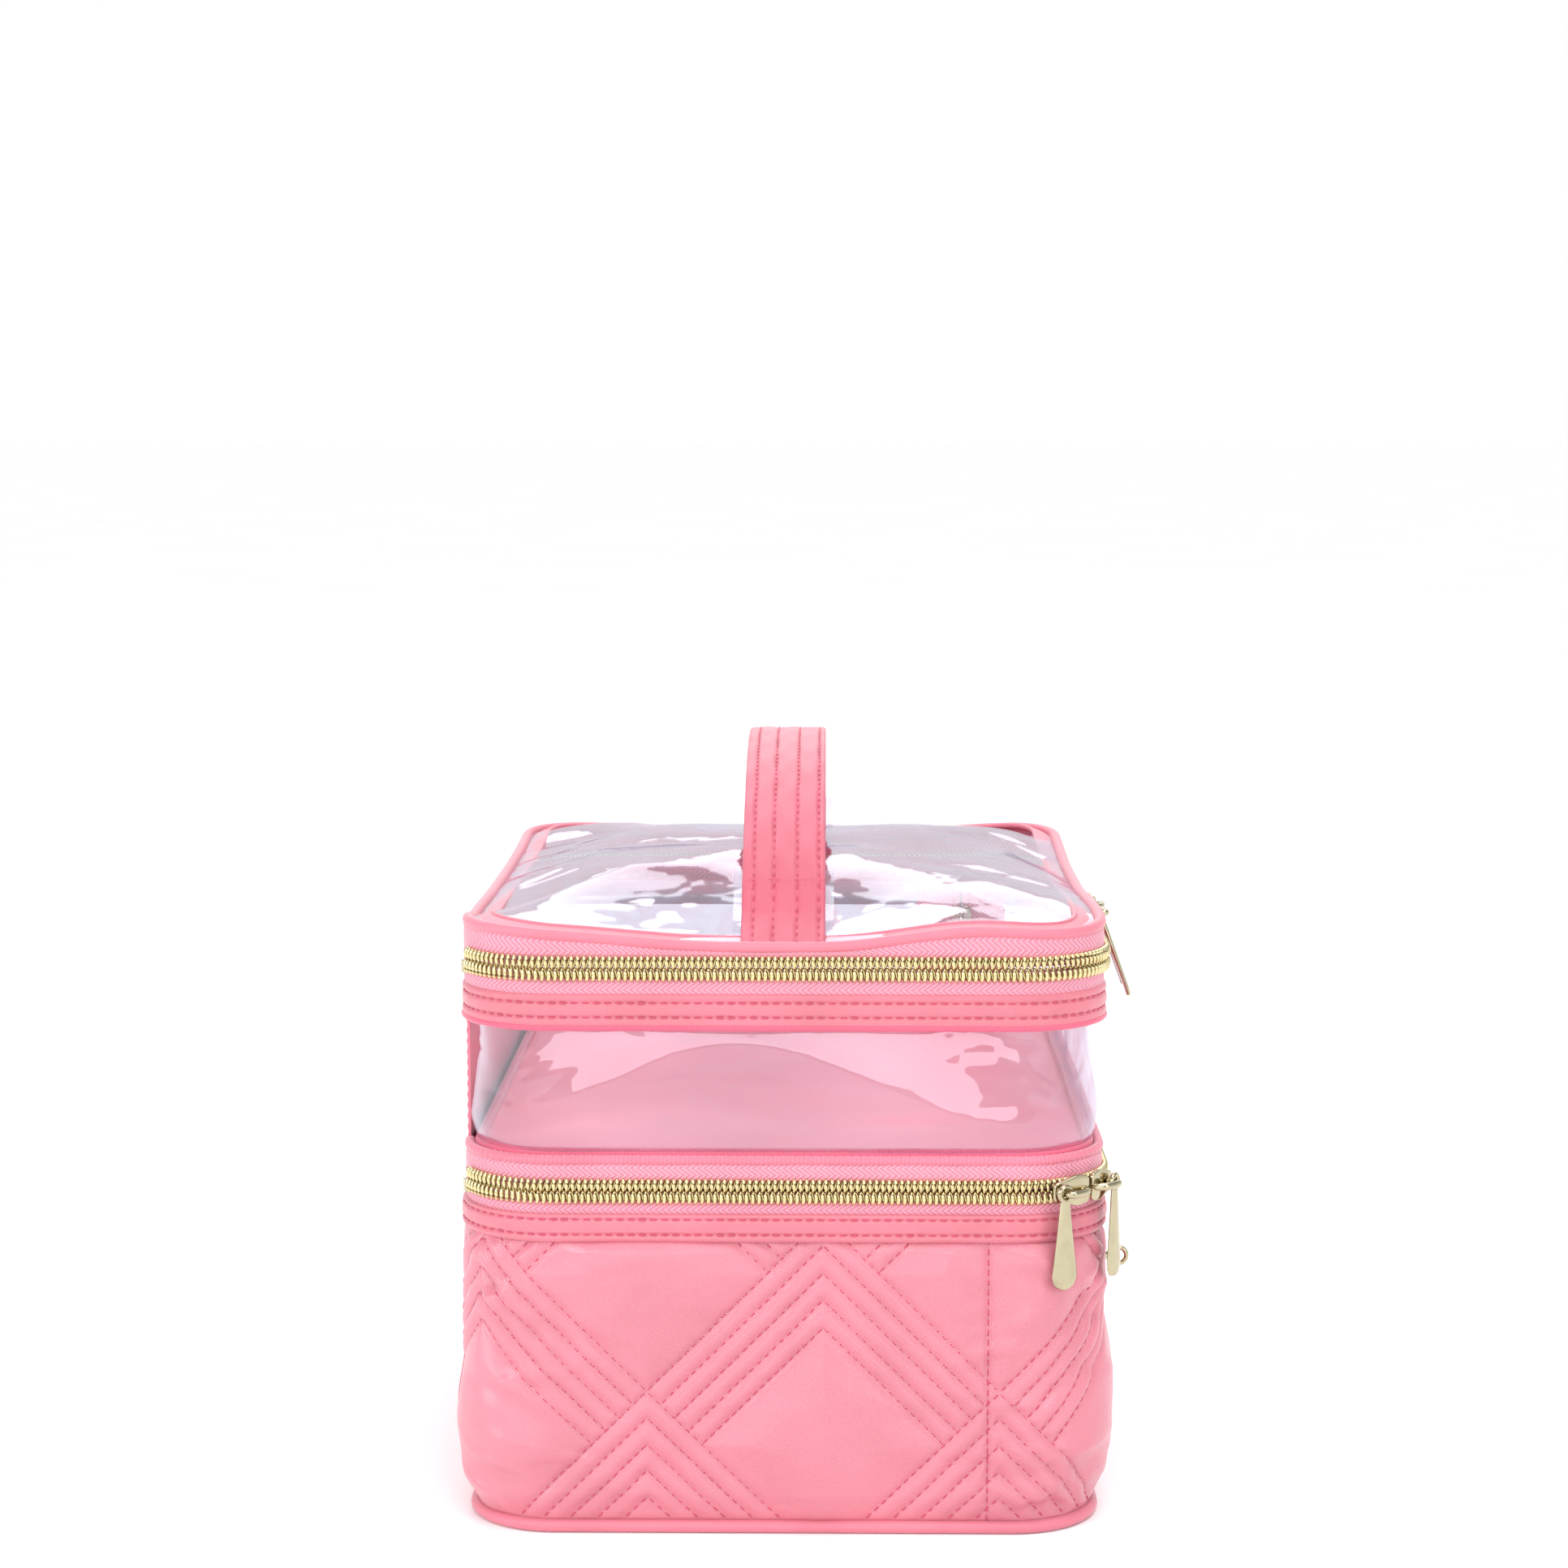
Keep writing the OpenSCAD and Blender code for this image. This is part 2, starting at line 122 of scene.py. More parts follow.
# ---- mesh building
class Shape:
    """Collects quads and other faces, with UVs in metres, and makes one mesh object of them."""

    def __init__(self):
        self.verts, self.loops, self.totals, self.uvs, self.mats = [], [], [], [], []
        self.count = 0

    def add(self, verts, faces, uvs=None, material=0, start=None):
        """start is the number of the faces' first point, where they use points added before."""
        verts = np.asarray(verts, float).reshape(-1, 3)
        faces = np.asarray(faces, int)
        if uvs is None:
            uvs = np.zeros(faces.shape + (2,))
        self.verts.append(verts)
        self.loops.append((faces + (self.count if start is None else start)).ravel())
        self.totals.append(np.full(len(faces), faces.shape[1]))
        self.uvs.append(np.asarray(uvs, float).reshape(-1, 2))
        self.mats.append(np.full(len(faces), material))
        self.count += len(verts)

    def grid(self, points, u, v, wrap_u=False, wrap_v=False, material=0, flip=False):
        """points is (n, m, 3); u has n values (n + 1 if wrapped), v has m (m + 1 if wrapped)."""
        n, m = points.shape[:2]
        i, j = np.arange(n if wrap_u else n - 1), np.arange(m if wrap_v else m - 1)
        i, j = np.meshgrid(i, j, indexing="ij")
        i1, j1 = (i + 1) % n, (j + 1) % m
        faces = join(i * m + j, i1 * m + j, i1 * m + j1, i * m + j1).reshape(-1, 4)
        u, v = np.asarray(u, float), np.asarray(v, float)
        corners = (u[i], v[j]), (u[i + 1], v[j]), (u[i + 1], v[j + 1]), (u[i], v[j + 1])
        uv = np.stack([join(*corner) for corner in corners], -2).reshape(-1, 4, 2)
        if flip:
            faces, uv = faces[:, ::-1], uv[:, ::-1]
        self.add(points, faces, uv, material)

    def cap(self, points, material=0, flip=False):
        face = np.arange(len(points))[None]
        self.add(points, face[:, ::-1] if flip else face, None, material)

    def skin(self, rings, u, v, material=0, flip=False, loop=False):
        """Rings joined into a closed skin, capped at both ends unless it runs in a loop."""
        self.grid(rings, u, v, wrap_u=loop, wrap_v=True, material=material, flip=flip)
        if not loop:
            self.cap(rings[0], material, flip)
            self.cap(rings[-1], material, not flip)

    def move(self, matrix):
        self.verts = [np.array([matrix @ Vector(v) for v in np.vstack(self.verts)])]

    def build(self, name, materials, sharp=None):
        mesh = bpy.data.meshes.new(name)
        verts, loops = np.concatenate(self.verts), np.concatenate(self.loops)
        totals = np.concatenate(self.totals)
        mesh.vertices.add(len(verts))
        mesh.vertices.foreach_set("co", verts.ravel())
        mesh.loops.add(len(loops))
        mesh.loops.foreach_set("vertex_index", loops.astype(np.int32))
        mesh.polygons.add(len(totals))
        starts = np.concatenate([[0], np.cumsum(totals)[:-1]])
        mesh.polygons.foreach_set("loop_start", starts.astype(np.int32))
        mesh.polygons.foreach_set("material_index", np.concatenate(self.mats).astype(np.int32))
        mesh.polygons.foreach_set("use_smooth", np.ones(len(totals), bool))
        layer = mesh.uv_layers.new(name="UVMap")
        layer.data.foreach_set("uv", np.concatenate(self.uvs).ravel())
        mesh.update(calc_edges=True)
        if sharp:
            mesh.set_sharp_from_angle(angle=math.radians(sharp))
        for m in materials:
            mesh.materials.append(m)
        piece = bpy.data.objects.new(name, mesh)
        bpy.context.scene.collection.objects.link(piece)
        return piece


def lengths(points):
    """Running length along a polyline given as (n, k) points."""
    steps = np.linalg.norm(np.diff(points, axis=0), axis=1)
    return np.concatenate([[0], np.cumsum(steps)])


def ring_lengths(ring):
    """Running length round a closed ring, back to its first point."""
    return lengths(np.vstack([ring, ring[:1]]))


def fit(piece, node, body):
    """The piece takes the CAD node's place, the node being hidden, and moves with the body."""
    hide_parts(node)
    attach(piece, body)
    return piece


def sweep(shape, s, section, loop=False, material=0):
    """Sweeps a closed (out, z) section, anticlockwise, along the track. It may vary with s."""
    section = np.asarray(section, float)
    if section.ndim == 2:
        section = np.broadcast_to(section, (len(s),) + section.shape)
    points = track(s[:, None], section[..., 0], section[..., 1])
    u = np.append(s, s[0] + (S_LOOP - S_START)) if loop else s
    shape.skin(points, u, ring_lengths(section.mean(0)), material, loop=loop)


def strip_section(out, z0, z1, thick, points=9, puff=0.0):
    """A flat strip's section, its outer face crowned by puff."""
    t = np.linspace(0, 1, points)
    outer = join(out + puff * np.sin(math.pi * t), z0 + (z1 - z0) * t)
    inner = [[out - thick, z1], [out - thick, z0]]
    return np.vstack([outer, inner])


def circle_section(out, z, r, points=14):
    a = around(points)
    return join(out + r * np.cos(a), z + r * np.sin(a))


def tube(shape, path, radius, sides, up=(0, 0, 1), closed=False):
    """A tube along path (n, 3). up is the direction that each ring's first point turns from."""
    if closed:
        tangent = np.roll(path, -1, 0) - np.roll(path, 1, 0)
    else:
        tangent = np.gradient(path, axis=0)
    tangent /= np.linalg.norm(tangent, axis=1)[:, None]
    side = np.cross(tangent, up)
    weak = np.linalg.norm(side, axis=1) < 0.2
    side[weak] = np.cross(tangent[weak], np.array([0.3, 0.9, 0.1]))
    side /= np.linalg.norm(side, axis=1)[:, None]
    other = np.cross(side, tangent)
    a = around(sides)
    radius = np.broadcast_to(radius, (len(path),))
    ring = np.cos(a)[:, None] * side[:, None] + np.sin(a)[:, None] * other[:, None]
    points = path[:, None] + radius[:, None, None] * ring
    u = lengths(path)
    if closed:
        u = np.append(u, u[-1] + np.linalg.norm(path[0] - path[-1]))
    v = np.linspace(0, 2 * math.pi * radius.mean(), sides + 1)
    shape.skin(points, u, v, loop=closed)


SEWN_PITCH = 3.3 * MM
STITCH_T = np.array([-1, -0.72, 0, 0.72, 1.0])
STITCH_R = np.array([0.3, 0.85, 1, 0.85, 0.3])


def stitches(shape, centre, along, normal, length, radius, material):
    """Small thread bars: centre, along and normal are (k, 3) arrays."""
    centre, along, normal = (np.asarray(a, float) for a in (centre, along, normal))
    side = np.cross(normal, along)
    a = around(6)
    lift = radius * (0.55 * (1 - STITCH_T**2) - 0.25)
    spine = (centre[:, None] + along[:, None] * (STITCH_T * length / 2)[None, :, None]
             + normal[:, None] * lift[None, :, None])
    ring = np.cos(a)[:, None] * side[:, None, None] + np.sin(a)[:, None] * normal[:, None, None]
    points = spine[:, :, None] + (radius * STITCH_R)[None, :, None, None] * ring
    i, j = np.meshgrid(np.arange(4), np.arange(6), indexing="ij")
    quad = join(i * 6 + j, i * 6 + (j + 1) % 6, (i + 1) * 6 + (j + 1) % 6, (i + 1) * 6 + j)
    base = (np.arange(len(centre)) * 30)[:, None, None]
    start = shape.count
    shape.add(points, (quad.reshape(1, -1, 4) + base).reshape(-1, 4), None, material)
    ends = np.stack([np.arange(6)[::-1], 24 + np.arange(6)])
    shape.add([], (ends + base).reshape(-1, 6), None, material, start)


def stitch_row(shape, s0, s1, out, z, pitch, material, length=0.7, radius=0.3 * MM):
    """A row of stitches along the track at one height."""
    s = np.arange(s0 + pitch / 2, s1, pitch)
    normal, along = track_axes(s)
    stitches(shape, track(s, out, z), along, normal, pitch * length, radius, material)


def creases(u, v, count, reach, size, width, seed, slant=(0, math.pi)):
    """A crumpled height field: many soft ridges and dents, each along its own short line."""
    r = np.random.default_rng(seed)
    total = np.zeros(np.broadcast(u, v).shape)
    for _ in range(count):
        cu, cv = r.uniform(*reach[0]), r.uniform(*reach[1])
        a, long = r.uniform(*slant), r.uniform(0.4, 1.0) * size
        w = r.uniform(0.6, 1.4) * width
        du, dv = u - cu, v - cv
        along, across = du * math.cos(a) + dv * math.sin(a), -du * math.sin(a) + dv * math.cos(a)
        across = across + 0.12 * along * np.sin(along / long * 2)
        total += r.choice([-1, 1]) * np.exp(-((along / long) ** 2) - (across / w) ** 2)
    return total


# ---- materials
def linear(r, g, b):
    """A linear colour from 0 to 255 display values."""
    c = np.array([r, g, b]) / 255
    c = np.where(c <= 0.04045, c / 12.92, ((c + 0.055) / 1.055) ** 2.4)
    return (*c.tolist(), 1.0)


class Nodes:
    """Short names for building one material's node tree."""

    def __init__(self, name):
        self.material = bpy.data.materials.new(name)
        self.material.use_nodes = True
        self.tree = self.material.node_tree
        self.tree.nodes.clear()
        self.out = self.tree.nodes.new("ShaderNodeOutputMaterial")

    def new(self, kind, **values):
        n = self.tree.nodes.new(kind)
        for k, v in values.items():
            if hasattr(n, k) and k not in n.inputs:
                setattr(n, k, v)
            else:
                self.put(n.inputs[k], v)
        return n

    def put(self, socket, value):
        if isinstance(value, bpy.types.NodeSocket):
            self.tree.links.new(value, socket)
        else:
            socket.default_value = value

    def math(self, op, a, b=0.0, c=0.0):
        n = self.tree.nodes.new("ShaderNodeMath")
        n.operation = op
        for i, v in enumerate((a, b, c)):
            self.put(n.inputs[i], v)
        return n.outputs[0]

    def uv(self):
        split = self.new("ShaderNodeSeparateXYZ")
        self.put(split.inputs[0], self.new("ShaderNodeUVMap", uv_map="UVMap").outputs[0])
        return split.outputs[0], split.outputs[1]

    def place(self, uv):
        if uv:
            return self.new("ShaderNodeUVMap", uv_map="UVMap").outputs[0]
        return self.new("ShaderNodeTexCoord").outputs["Object"]

    def noise(self, scale, detail=3.0, uv=False, rough=0.5):
        n = self.new("ShaderNodeTexNoise", Scale=scale, Detail=detail, Roughness=rough)
        self.put(n.inputs["Vector"], self.place(uv))
        return n.outputs["Fac"]

    def ramp(self, factor, low, high, at=(0.3, 0.7)):
        n = self.new("ShaderNodeValToRGB")
        n.color_ramp.elements[0].position, n.color_ramp.elements[1].position = at
        n.color_ramp.elements[0].color, n.color_ramp.elements[1].color = low, high
        self.put(n.inputs[0], factor)
        return n.outputs[0]

    def bump(self, height, strength, distance):
        n = self.new("ShaderNodeBump", Strength=strength, Distance=distance)
        self.put(n.inputs["Height"], height)
        return n.outputs[0]

    def finish(self, shader):
        self.tree.links.new(shader.outputs[0], self.out.inputs[0])
        return self.material


def shade(colour, k):
    return (*[min(1.0, c * k) for c in colour[:3]], 1.0)


def weave_height(n, kind, pitch):
    """Height of a twill, herringbone or rib weave, from UVs in metres."""
    u, v = n.uv()
    turn = 2 * math.pi / pitch
    if kind == "herringbone":
        zig = n.math("PINGPONG", v, 2.1 * MM)
        return n.math("SINE", n.math("MULTIPLY", n.math("ADD", u, n.math("MULTIPLY", zig, 1.4)), turn))
    ribs = u if kind == "rib" else n.math("ADD", u, v)
    return n.math("SINE", n.math("MULTIPLY", ribs, turn))


def fabric(name, colour, kind, pitch, depth=0.12 * MM, rough=0.5, sheen=0.35, vary=0.07,
           weave=0.2, gloss=0.45):
    n = Nodes(name)
    cloud = n.noise(38.0, 4.0)
    tone = n.ramp(cloud, shade(colour, 1 - vary), shade(colour, 1 + vary))
    height = weave_height(n, kind, pitch)
    # Painted shade: the cloth's own tone is darkened, by up to weave, where the weave's height is low,
    # standing in for the shade that falls in the weave's grooves.
    groove_shaded_tone = n.new("ShaderNodeMix", data_type="RGBA", blend_type="MULTIPLY")
    n.put(groove_shaded_tone.inputs[0], weave)
    n.put(groove_shaded_tone.inputs[6], tone)
    n.put(groove_shaded_tone.inputs[7], n.ramp(height, (0.42, 0.34, 0.37, 1), (1, 1, 1, 1), (0.0, 0.7)))
    finish = {"Roughness": rough, "Sheen Weight": sheen, "Sheen Roughness": 0.4, "Specular IOR Level": gloss}
    bsdf = n.new("ShaderNodeBsdfPrincipled", **finish)
    n.put(bsdf.inputs["Base Color"], groove_shaded_tone.outputs[2])
    fine = n.math("ADD", n.math("MULTIPLY", height, 0.5), n.noise(900.0, 2.0))
    n.put(bsdf.inputs["Normal"], n.bump(fine, 0.35, depth))
    return n.finish(bsdf)


def plain_weave(name, colour, pitch=0.6 * MM, rough=0.65):
    """Woven cloth on pieces without UVs: the weave comes from the piece's own place."""
    n = Nodes(name)
    tone = n.ramp(n.noise(30.0), shade(colour, 0.93), shade(colour, 1.07))
    split = n.new("ShaderNodeSeparateXYZ")
    n.put(split.inputs[0], n.place(False))
    turn = 2 * math.pi / pitch
    waves = [n.math("SINE", n.math("MULTIPLY", split.outputs[i], turn)) for i in range(3)]
    height = n.math("ADD", n.math("MULTIPLY", waves[0], waves[1]), n.math("MULTIPLY", waves[1], waves[2]))
    bsdf = n.new("ShaderNodeBsdfPrincipled", Roughness=rough)
    n.put(bsdf.inputs["Base Color"], tone)
    bsdf.inputs["Sheen Weight"].default_value = 0.25
    n.put(bsdf.inputs["Normal"], n.bump(height, 0.3, 0.1 * MM))
    return n.finish(bsdf)


def metal(name, colour, rough, mottle=0.04):
    n = Nodes(name)
    tone = n.ramp(n.noise(260.0, 3.0), shade(colour, 0.92), shade(colour, 1.04))
    bsdf = n.new("ShaderNodeBsdfPrincipled", Metallic=1.0)
    n.put(bsdf.inputs["Base Color"], tone)
    worn = n.math("MULTIPLY_ADD", n.noise(900.0, 4.0), mottle * 2, rough - mottle)
    n.put(bsdf.inputs["Roughness"], worn)
    n.put(bsdf.inputs["Normal"], n.bump(n.noise(420.0, 2.0), 0.12, 0.08 * MM))
    return n.finish(bsdf)


def vinyl(name, milk=0.02, body_colour=(0.93, 0.92, 0.98, 1)):
    """Clear soft sheet: see-through, faintly lavender, with a gloss that grows at glancing angles."""
    n = Nodes(name)
    clear = n.new("ShaderNodeBsdfTransparent")
    clear.inputs[0].default_value = (0.962, 0.958, 0.985, 1)
    body = n.new("ShaderNodeBsdfPrincipled", Roughness=0.4)
    body.inputs["Base Color"].default_value = body_colour
    gloss = n.new("ShaderNodeBsdfGlossy", Roughness=0.03)
    gloss.inputs[0].default_value = (0.86, 0.87, 0.95, 1)
    ripple = n.bump(n.noise(60.0, 2.0), 0.25, 1.0 * MM)
    n.put(gloss.inputs["Normal"], ripple)
    cloudy = n.math("MULTIPLY_ADD", n.noise(22.0, 3.0), milk * 2, milk * 0.3)
    soft = n.new("ShaderNodeMixShader")
    n.put(soft.inputs[0], cloudy)
    n.put(soft.inputs[1], clear.outputs[0])
    n.put(soft.inputs[2], body.outputs[0])
    facing = n.new("ShaderNodeLayerWeight")
    n.put(facing.inputs["Normal"], ripple)
    grazing = n.math("POWER", facing.outputs["Facing"], 3.2)
    final = n.new("ShaderNodeMixShader")
    n.put(final.inputs[0], n.math("MULTIPLY_ADD", grazing, 0.66, 0.055))
    n.put(final.inputs[1], soft.outputs[0])
    n.put(final.inputs[2], gloss.outputs[0])
    return n.finish(final)


satin = fabric("quilted_satin", linear(220, 130, 146), "twill", 0.85 * MM, 0.2 * MM, 0.27, sheen=0.15,
               weave=0.3, gloss=0.65)
band_cloth = fabric("band_satin", linear(215, 121, 136), "twill", 0.85 * MM, 0.2 * MM, 0.36, sheen=0.2)
binding = fabric("binding_satin", linear(220, 96, 124), "rib", 0.9 * MM, rough=0.5)
cord_cloth = fabric("cord_satin", linear(222, 124, 142), "twill", 0.8 * MM, 0.15 * MM, rough=0.36, sheen=0.2)
piping_cloth = fabric("piping_satin", linear(222, 122, 142), "rib", 1.3 * MM, 0.2 * MM, rough=0.42)
tape_cloth = fabric("zip_tape", linear(244, 158, 178), "herringbone", 1.8 * MM, 0.5 * MM, 0.6, vary=0.04,
                    weave=0.55)
strap_cloth = fabric("strap_satin", linear(206, 95, 116), "twill", 0.85 * MM, 0.2 * MM,
                     rough=0.36, sheen=0.2)
hinge_cloth = fabric("hinge_satin", linear(232, 128, 148), "twill", 0.8 * MM, rough=0.45)
lining = fabric("lining_cloth", linear(248, 118, 142), "twill", 0.8 * MM, rough=0.4, vary=0.04)
under_cloth = plain_weave("base_cloth", linear(226, 122, 145))
board = plain_weave("stiffener_board", linear(226, 224, 220), 1.4 * MM, 0.5)
# Thread colour: the thread's own rose, deepened with painted shade for the dimples the stitches sink into.
thread = fabric("sewing_thread_and_dimple_shade", linear(206, 78, 108), "rib", 0.5 * MM, rough=0.5, vary=0.03)
coil_gold = metal("coil_gold", linear(222, 208, 160), 0.24)
pull_gold = metal("champagne_gold", linear(188, 178, 148), 0.09, 0.03)
clear_vinyl = vinyl("clear_vinyl")
patch_vinyl = vinyl("patch_vinyl", 0.05)


# ---- quilting
QUILT_HALF = 52.5 * MM
QUILT_DROP = 8.2 * MM
QUILT_Z = 96.5 * MM
QUILT_S = 12 * MM
SIDE_SEAM_S = 61 * MM
SKIN_INNER = -4.2 * MM
SKIN_FOOT = WALL_LOW - 1.8 * MM


def quilt_lines():
    """Stitched lines in the (s, z) plane, as (s0, z0, s1, z1): five nested chevrons to a node."""
    lines = []
    for row in range(-1, 3):
        for i in range(-3, 15):
            s = QUILT_S + (2 * i + (row % 2)) * QUILT_HALF
            z = QUILT_Z - row * QUILT_HALF
            for k in range(5):
                reach = QUILT_HALF - k * QUILT_DROP / 2
                top = z - k * QUILT_DROP
                for side in (-1, 1):
                    lines.append((s, top, s + side * reach, top - reach))
    return np.array(lines)


QUILT = quilt_lines()
PLATE_LOW, PLATE_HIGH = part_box("charm_ring_plate")
PLATE_S = STRAIGHT_Y + ARC + (PLATE_LOW[0] + PLATE_HIGH[0]) / 2 + STRAIGHT_X
PLATE_Z = (PLATE_LOW[2] + PLATE_HIGH[2]) / 2


def clip_lines(lines, s0, s1, z0, z1):
    """Cuts the lines to a rectangle of the (s, z) plane."""
    kept = []
    for a, b, c, d in lines:
        lo, hi = 0.0, 1.0
        for start, step, low, high in ((a, c - a, s0, s1), (b, d - b, z0, z1)):
            if abs(step) < 1e-9:
                continue
            t0, t1 = sorted(((low - start) / step, (high - start) / step))
            lo, hi = max(lo, t0), min(hi, t1)
        if hi - lo > 0.02:
            kept.append((a + (c - a) * lo, b + (d - b) * lo, a + (c - a) * hi, b + (d - b) * hi))
    return np.array(kept)


def line_distance(s, z, lines):
    """Distance from each (s, z) to the nearest stitched line."""
    best = np.full(s.shape, 1.0)
    for a, b, c, d in lines:
        length2 = (c - a) ** 2 + (d - b) ** 2
        t = np.clip(((s - a) * (c - a) + (z - b) * (d - b)) / length2, 0, 1)
        best = np.minimum(best, np.hypot(s - a - t * (c - a), z - b - t * (d - b)))
    return best


def quilt_out(s, z, lines, low, high):
    """Outward offset of the padded skin: narrow ribs between lines, and full diamonds."""
    d = line_distance(s, z, lines)
    puff = 1.6 * MM * (1 - np.exp(-d / (1.15 * MM))) + 2.8 * MM * (1 - np.exp(-((d / (9.5 * MM)) ** 2)))
    t = np.clip((z - low) / (high - low), 0, 1)
    bow = 1.4 * MM * np.sin(math.pi * t) ** 0.8 - 1.2 * MM * (1 - t) ** 4
    tuck_in = high if high > WALL_TOP else LOWER_BAND_Z + 1.2 * MM
    edge = np.clip(np.minimum((z - low) / (9 * MM), (tuck_in - z) / (4 * MM)), 0, 1) ** 0.7
    plate = np.exp(-(((s - PLATE_S) ** 2 + (z - PLATE_Z) ** 2) / (7.5 * MM) ** 2) ** 2)
    edge = edge * (1 - 0.8 * plate)
    pull = np.exp(-((d / (6 * MM)) ** 2))
    slack = creases(s, z, 420, ((S_START, S_LOOP), (low, high)), 17 * MM, 3.0 * MM, 41, (-0.6, 0.6))
    tuck = (0.14 + 1.1 * near_corner(s, 24 * MM) + 0.26 * pull) * MM * np.clip(slack, -1.5, 1.2)
    bow = bow * (1 - 0.8 * plate)
    return -1.8 * MM + edge * (puff + tuck + 0.4 * MM) + bow


def quilted_skin(name, s0, s1, low, high, node, step=0.78 * MM):
    """The padded outer cloth from s0 to s1, with every stitched line sewn through it."""
    lines = clip_lines(QUILT, s0, s1, low + 1 * MM, high - 0.5 * MM)
    seam = s0 < SIDE_SEAM_S < s1
    if seam:
        lines = np.vstack([lines, [SIDE_SEAM_S, low, SIDE_SEAM_S, high]])
    s = even_steps(s0, s1, step)
    if seam:
        s = np.concatenate([even_steps(s0, SIDE_SEAM_S, step), even_steps(SIDE_SEAM_S, s1, step)[1:]])
    z = np.linspace(low, high, int((high - low) / step) + 1)
    grid_s, grid_z = np.meshgrid(s, z, indexing="ij")
    out = quilt_out(grid_s, grid_z, lines, low, high)
    outer = join(out, grid_z)
    inner = join(SKIN_INNER, np.linspace(high, low, 4))
    section = np.concatenate([outer, np.broadcast_to(inner, (len(s), 4, 2))], 1)
    shape = Shape()
    sweep(shape, s, section)
    centres, along, normals = [], [], []
    for a, b, c, d in lines:
        length = math.hypot(c - a, d - b)
        count = max(1, int(length / (3.0 * MM)))
        t = (np.arange(count) + 0.5) / count
        ps, pz = a + (c - a) * t, b + (d - b) * t
        n, travel = track_axes(ps)
        out = quilt_out(ps, pz, lines, low, high)
        centres.append(track(ps, out + 0.22 * MM, pz))
        along.append(travel * (c - a) / length + np.array([0, 0, (d - b) / length]))
        normals.append(n)
    stitches(shape, np.vstack(centres), np.vstack(along), np.vstack(normals), 2.0 * MM, 0.26 * MM, 1)
    piece = fit(shape.build(name, [satin, thread]), node, "lower_case")


quilted_skin("quilted_wall_skin", S_START, S_BACK, SKIN_FOOT, WALL_TOP - 1 * MM, "lower_wall")
quilted_skin("quilted_back_skin", S_BACK, S_LOOP, SKIN_FOOT, LOWER_SEAM - 4 * MM, "lower_back_panel")


# ---- bands, tapes and piping
WRAP = even_steps(S_START, S_BACK)
LOOP = even_steps(S_START, S_LOOP)[:-1]


def stitched_band(name, node, body, z0, z1, out, thick, rows, bound):
    """A sewn band round the case: puffed between its stitch rows, with a bound lower edge if asked."""
    t = np.linspace(0, 1, 41)
    z = z0 + (z1 - z0) * t
    dip = sum(np.exp(-(((z - row) / (0.62 * MM)) ** 2)) for row in rows)
    soft = creases(WRAP[:, None], z, 130, ((S_START, S_BACK), (z0, z1)), 7 * MM, 2.2 * MM, 51, (1.2, 1.9))
    wave = 0.22 * MM * soft * np.sin(math.pi * t)
    edge = np.clip(np.minimum(z - z0, z1 - z) / (1.2 * MM), 0, 1) ** 0.5
    face = out - 0.5 * MM + edge * 0.95 * MM - 0.6 * MM * dip + wave
    outer = join(face, z)
    inner = np.broadcast_to([[out - thick, z1], [out - thick, z0]], (len(WRAP), 2, 2))
    shape = Shape()
    sweep(shape, WRAP, np.concatenate([outer, inner], 1))
    for row in rows:
        stitch_row(shape, S_START, S_BACK, out - 0.02 * MM, row, SEWN_PITCH, 1)
    if bound:
        roll = circle_section(out - 0.15 * MM, z0 + 0.3 * MM, 1.0 * MM, 12)
        sweep(shape, WRAP, roll, material=2)
    fit(shape.build(name, [band_cloth, thread, binding]), node, body)


stitched_band("lower_band_sewn", "lower_band", "lower_case", LOWER_BAND_Z, WALL_TOP, 0.9 * MM, 2.6 * MM,
              (LOWER_BAND_Z + 2.3 * MM, LOWER_BAND_Z + 6.9 * MM), False)
stitched_band("upper_band_sewn", "upper_band", "upper_deck",
              UPPER_BAND[0], UPPER_BAND[1], 0.2 * MM, 1.1 * MM,
              (UPPER_BAND[0] + 3.4 * MM, UPPER_BAND[0] + 7.7 * MM), True)


RIM_KEYS = np.array([(-138, 0.5), (-112, 2.6), (-84, 2.2), (-58, 0.4), (-26, -2.4), (18, -2.6), (40, 0.6),
                     (54, 2.8), (74, 1.6), (96, 0.8), (120, 3.0), (150, 1.4), (200, -1.8), (260, -1.8),
                     (300, 1.0), (330, 3.0), (360, 1.0), (400, -1.8), (450, -1.8), (490, 1.6), (520, 2.6),
                     (560, 0.5), (600, -0.5), (660, -0.5), (708, 0.5)]) * MM


def rim_lift(s):
    """The soft lid's rim waves up at the corners and sags along the sides."""
    fine = np.arange(RIM_KEYS[0, 0], RIM_KEYS[-1, 0], 2 * MM)
    wave = np.interp(fine, RIM_KEYS[:, 0], RIM_KEYS[:, 1])
    for _ in range(30):
        wave[1:-1] = (wave[:-2] + 2 * wave[1:-1] + wave[2:]) / 4
    return np.interp(s, fine, wave)


def tape(node, body, z0, z1, out=-0.2 * MM, lift=0.0):
    """One woven half of a zip."""
    t = np.linspace(0, 1, 9)
    z = z0 + (z1 - z0) * t + lift * rim_lift(WRAP)[:, None] * t**1.5
    face = out + 0.25 * MM * np.sin(math.pi * t) + 0.12 * MM * np.sin(WRAP / (4.7 * MM))[:, None] * t
    outer = join(face, z)
    inner = join(out - 0.9 * MM, z[:, [-1, 0]])
    shape = Shape()
    sweep(shape, WRAP, np.concatenate([outer, inner], 1))
    fit(shape.build(f"{node}_woven", [tape_cloth]), node, body)


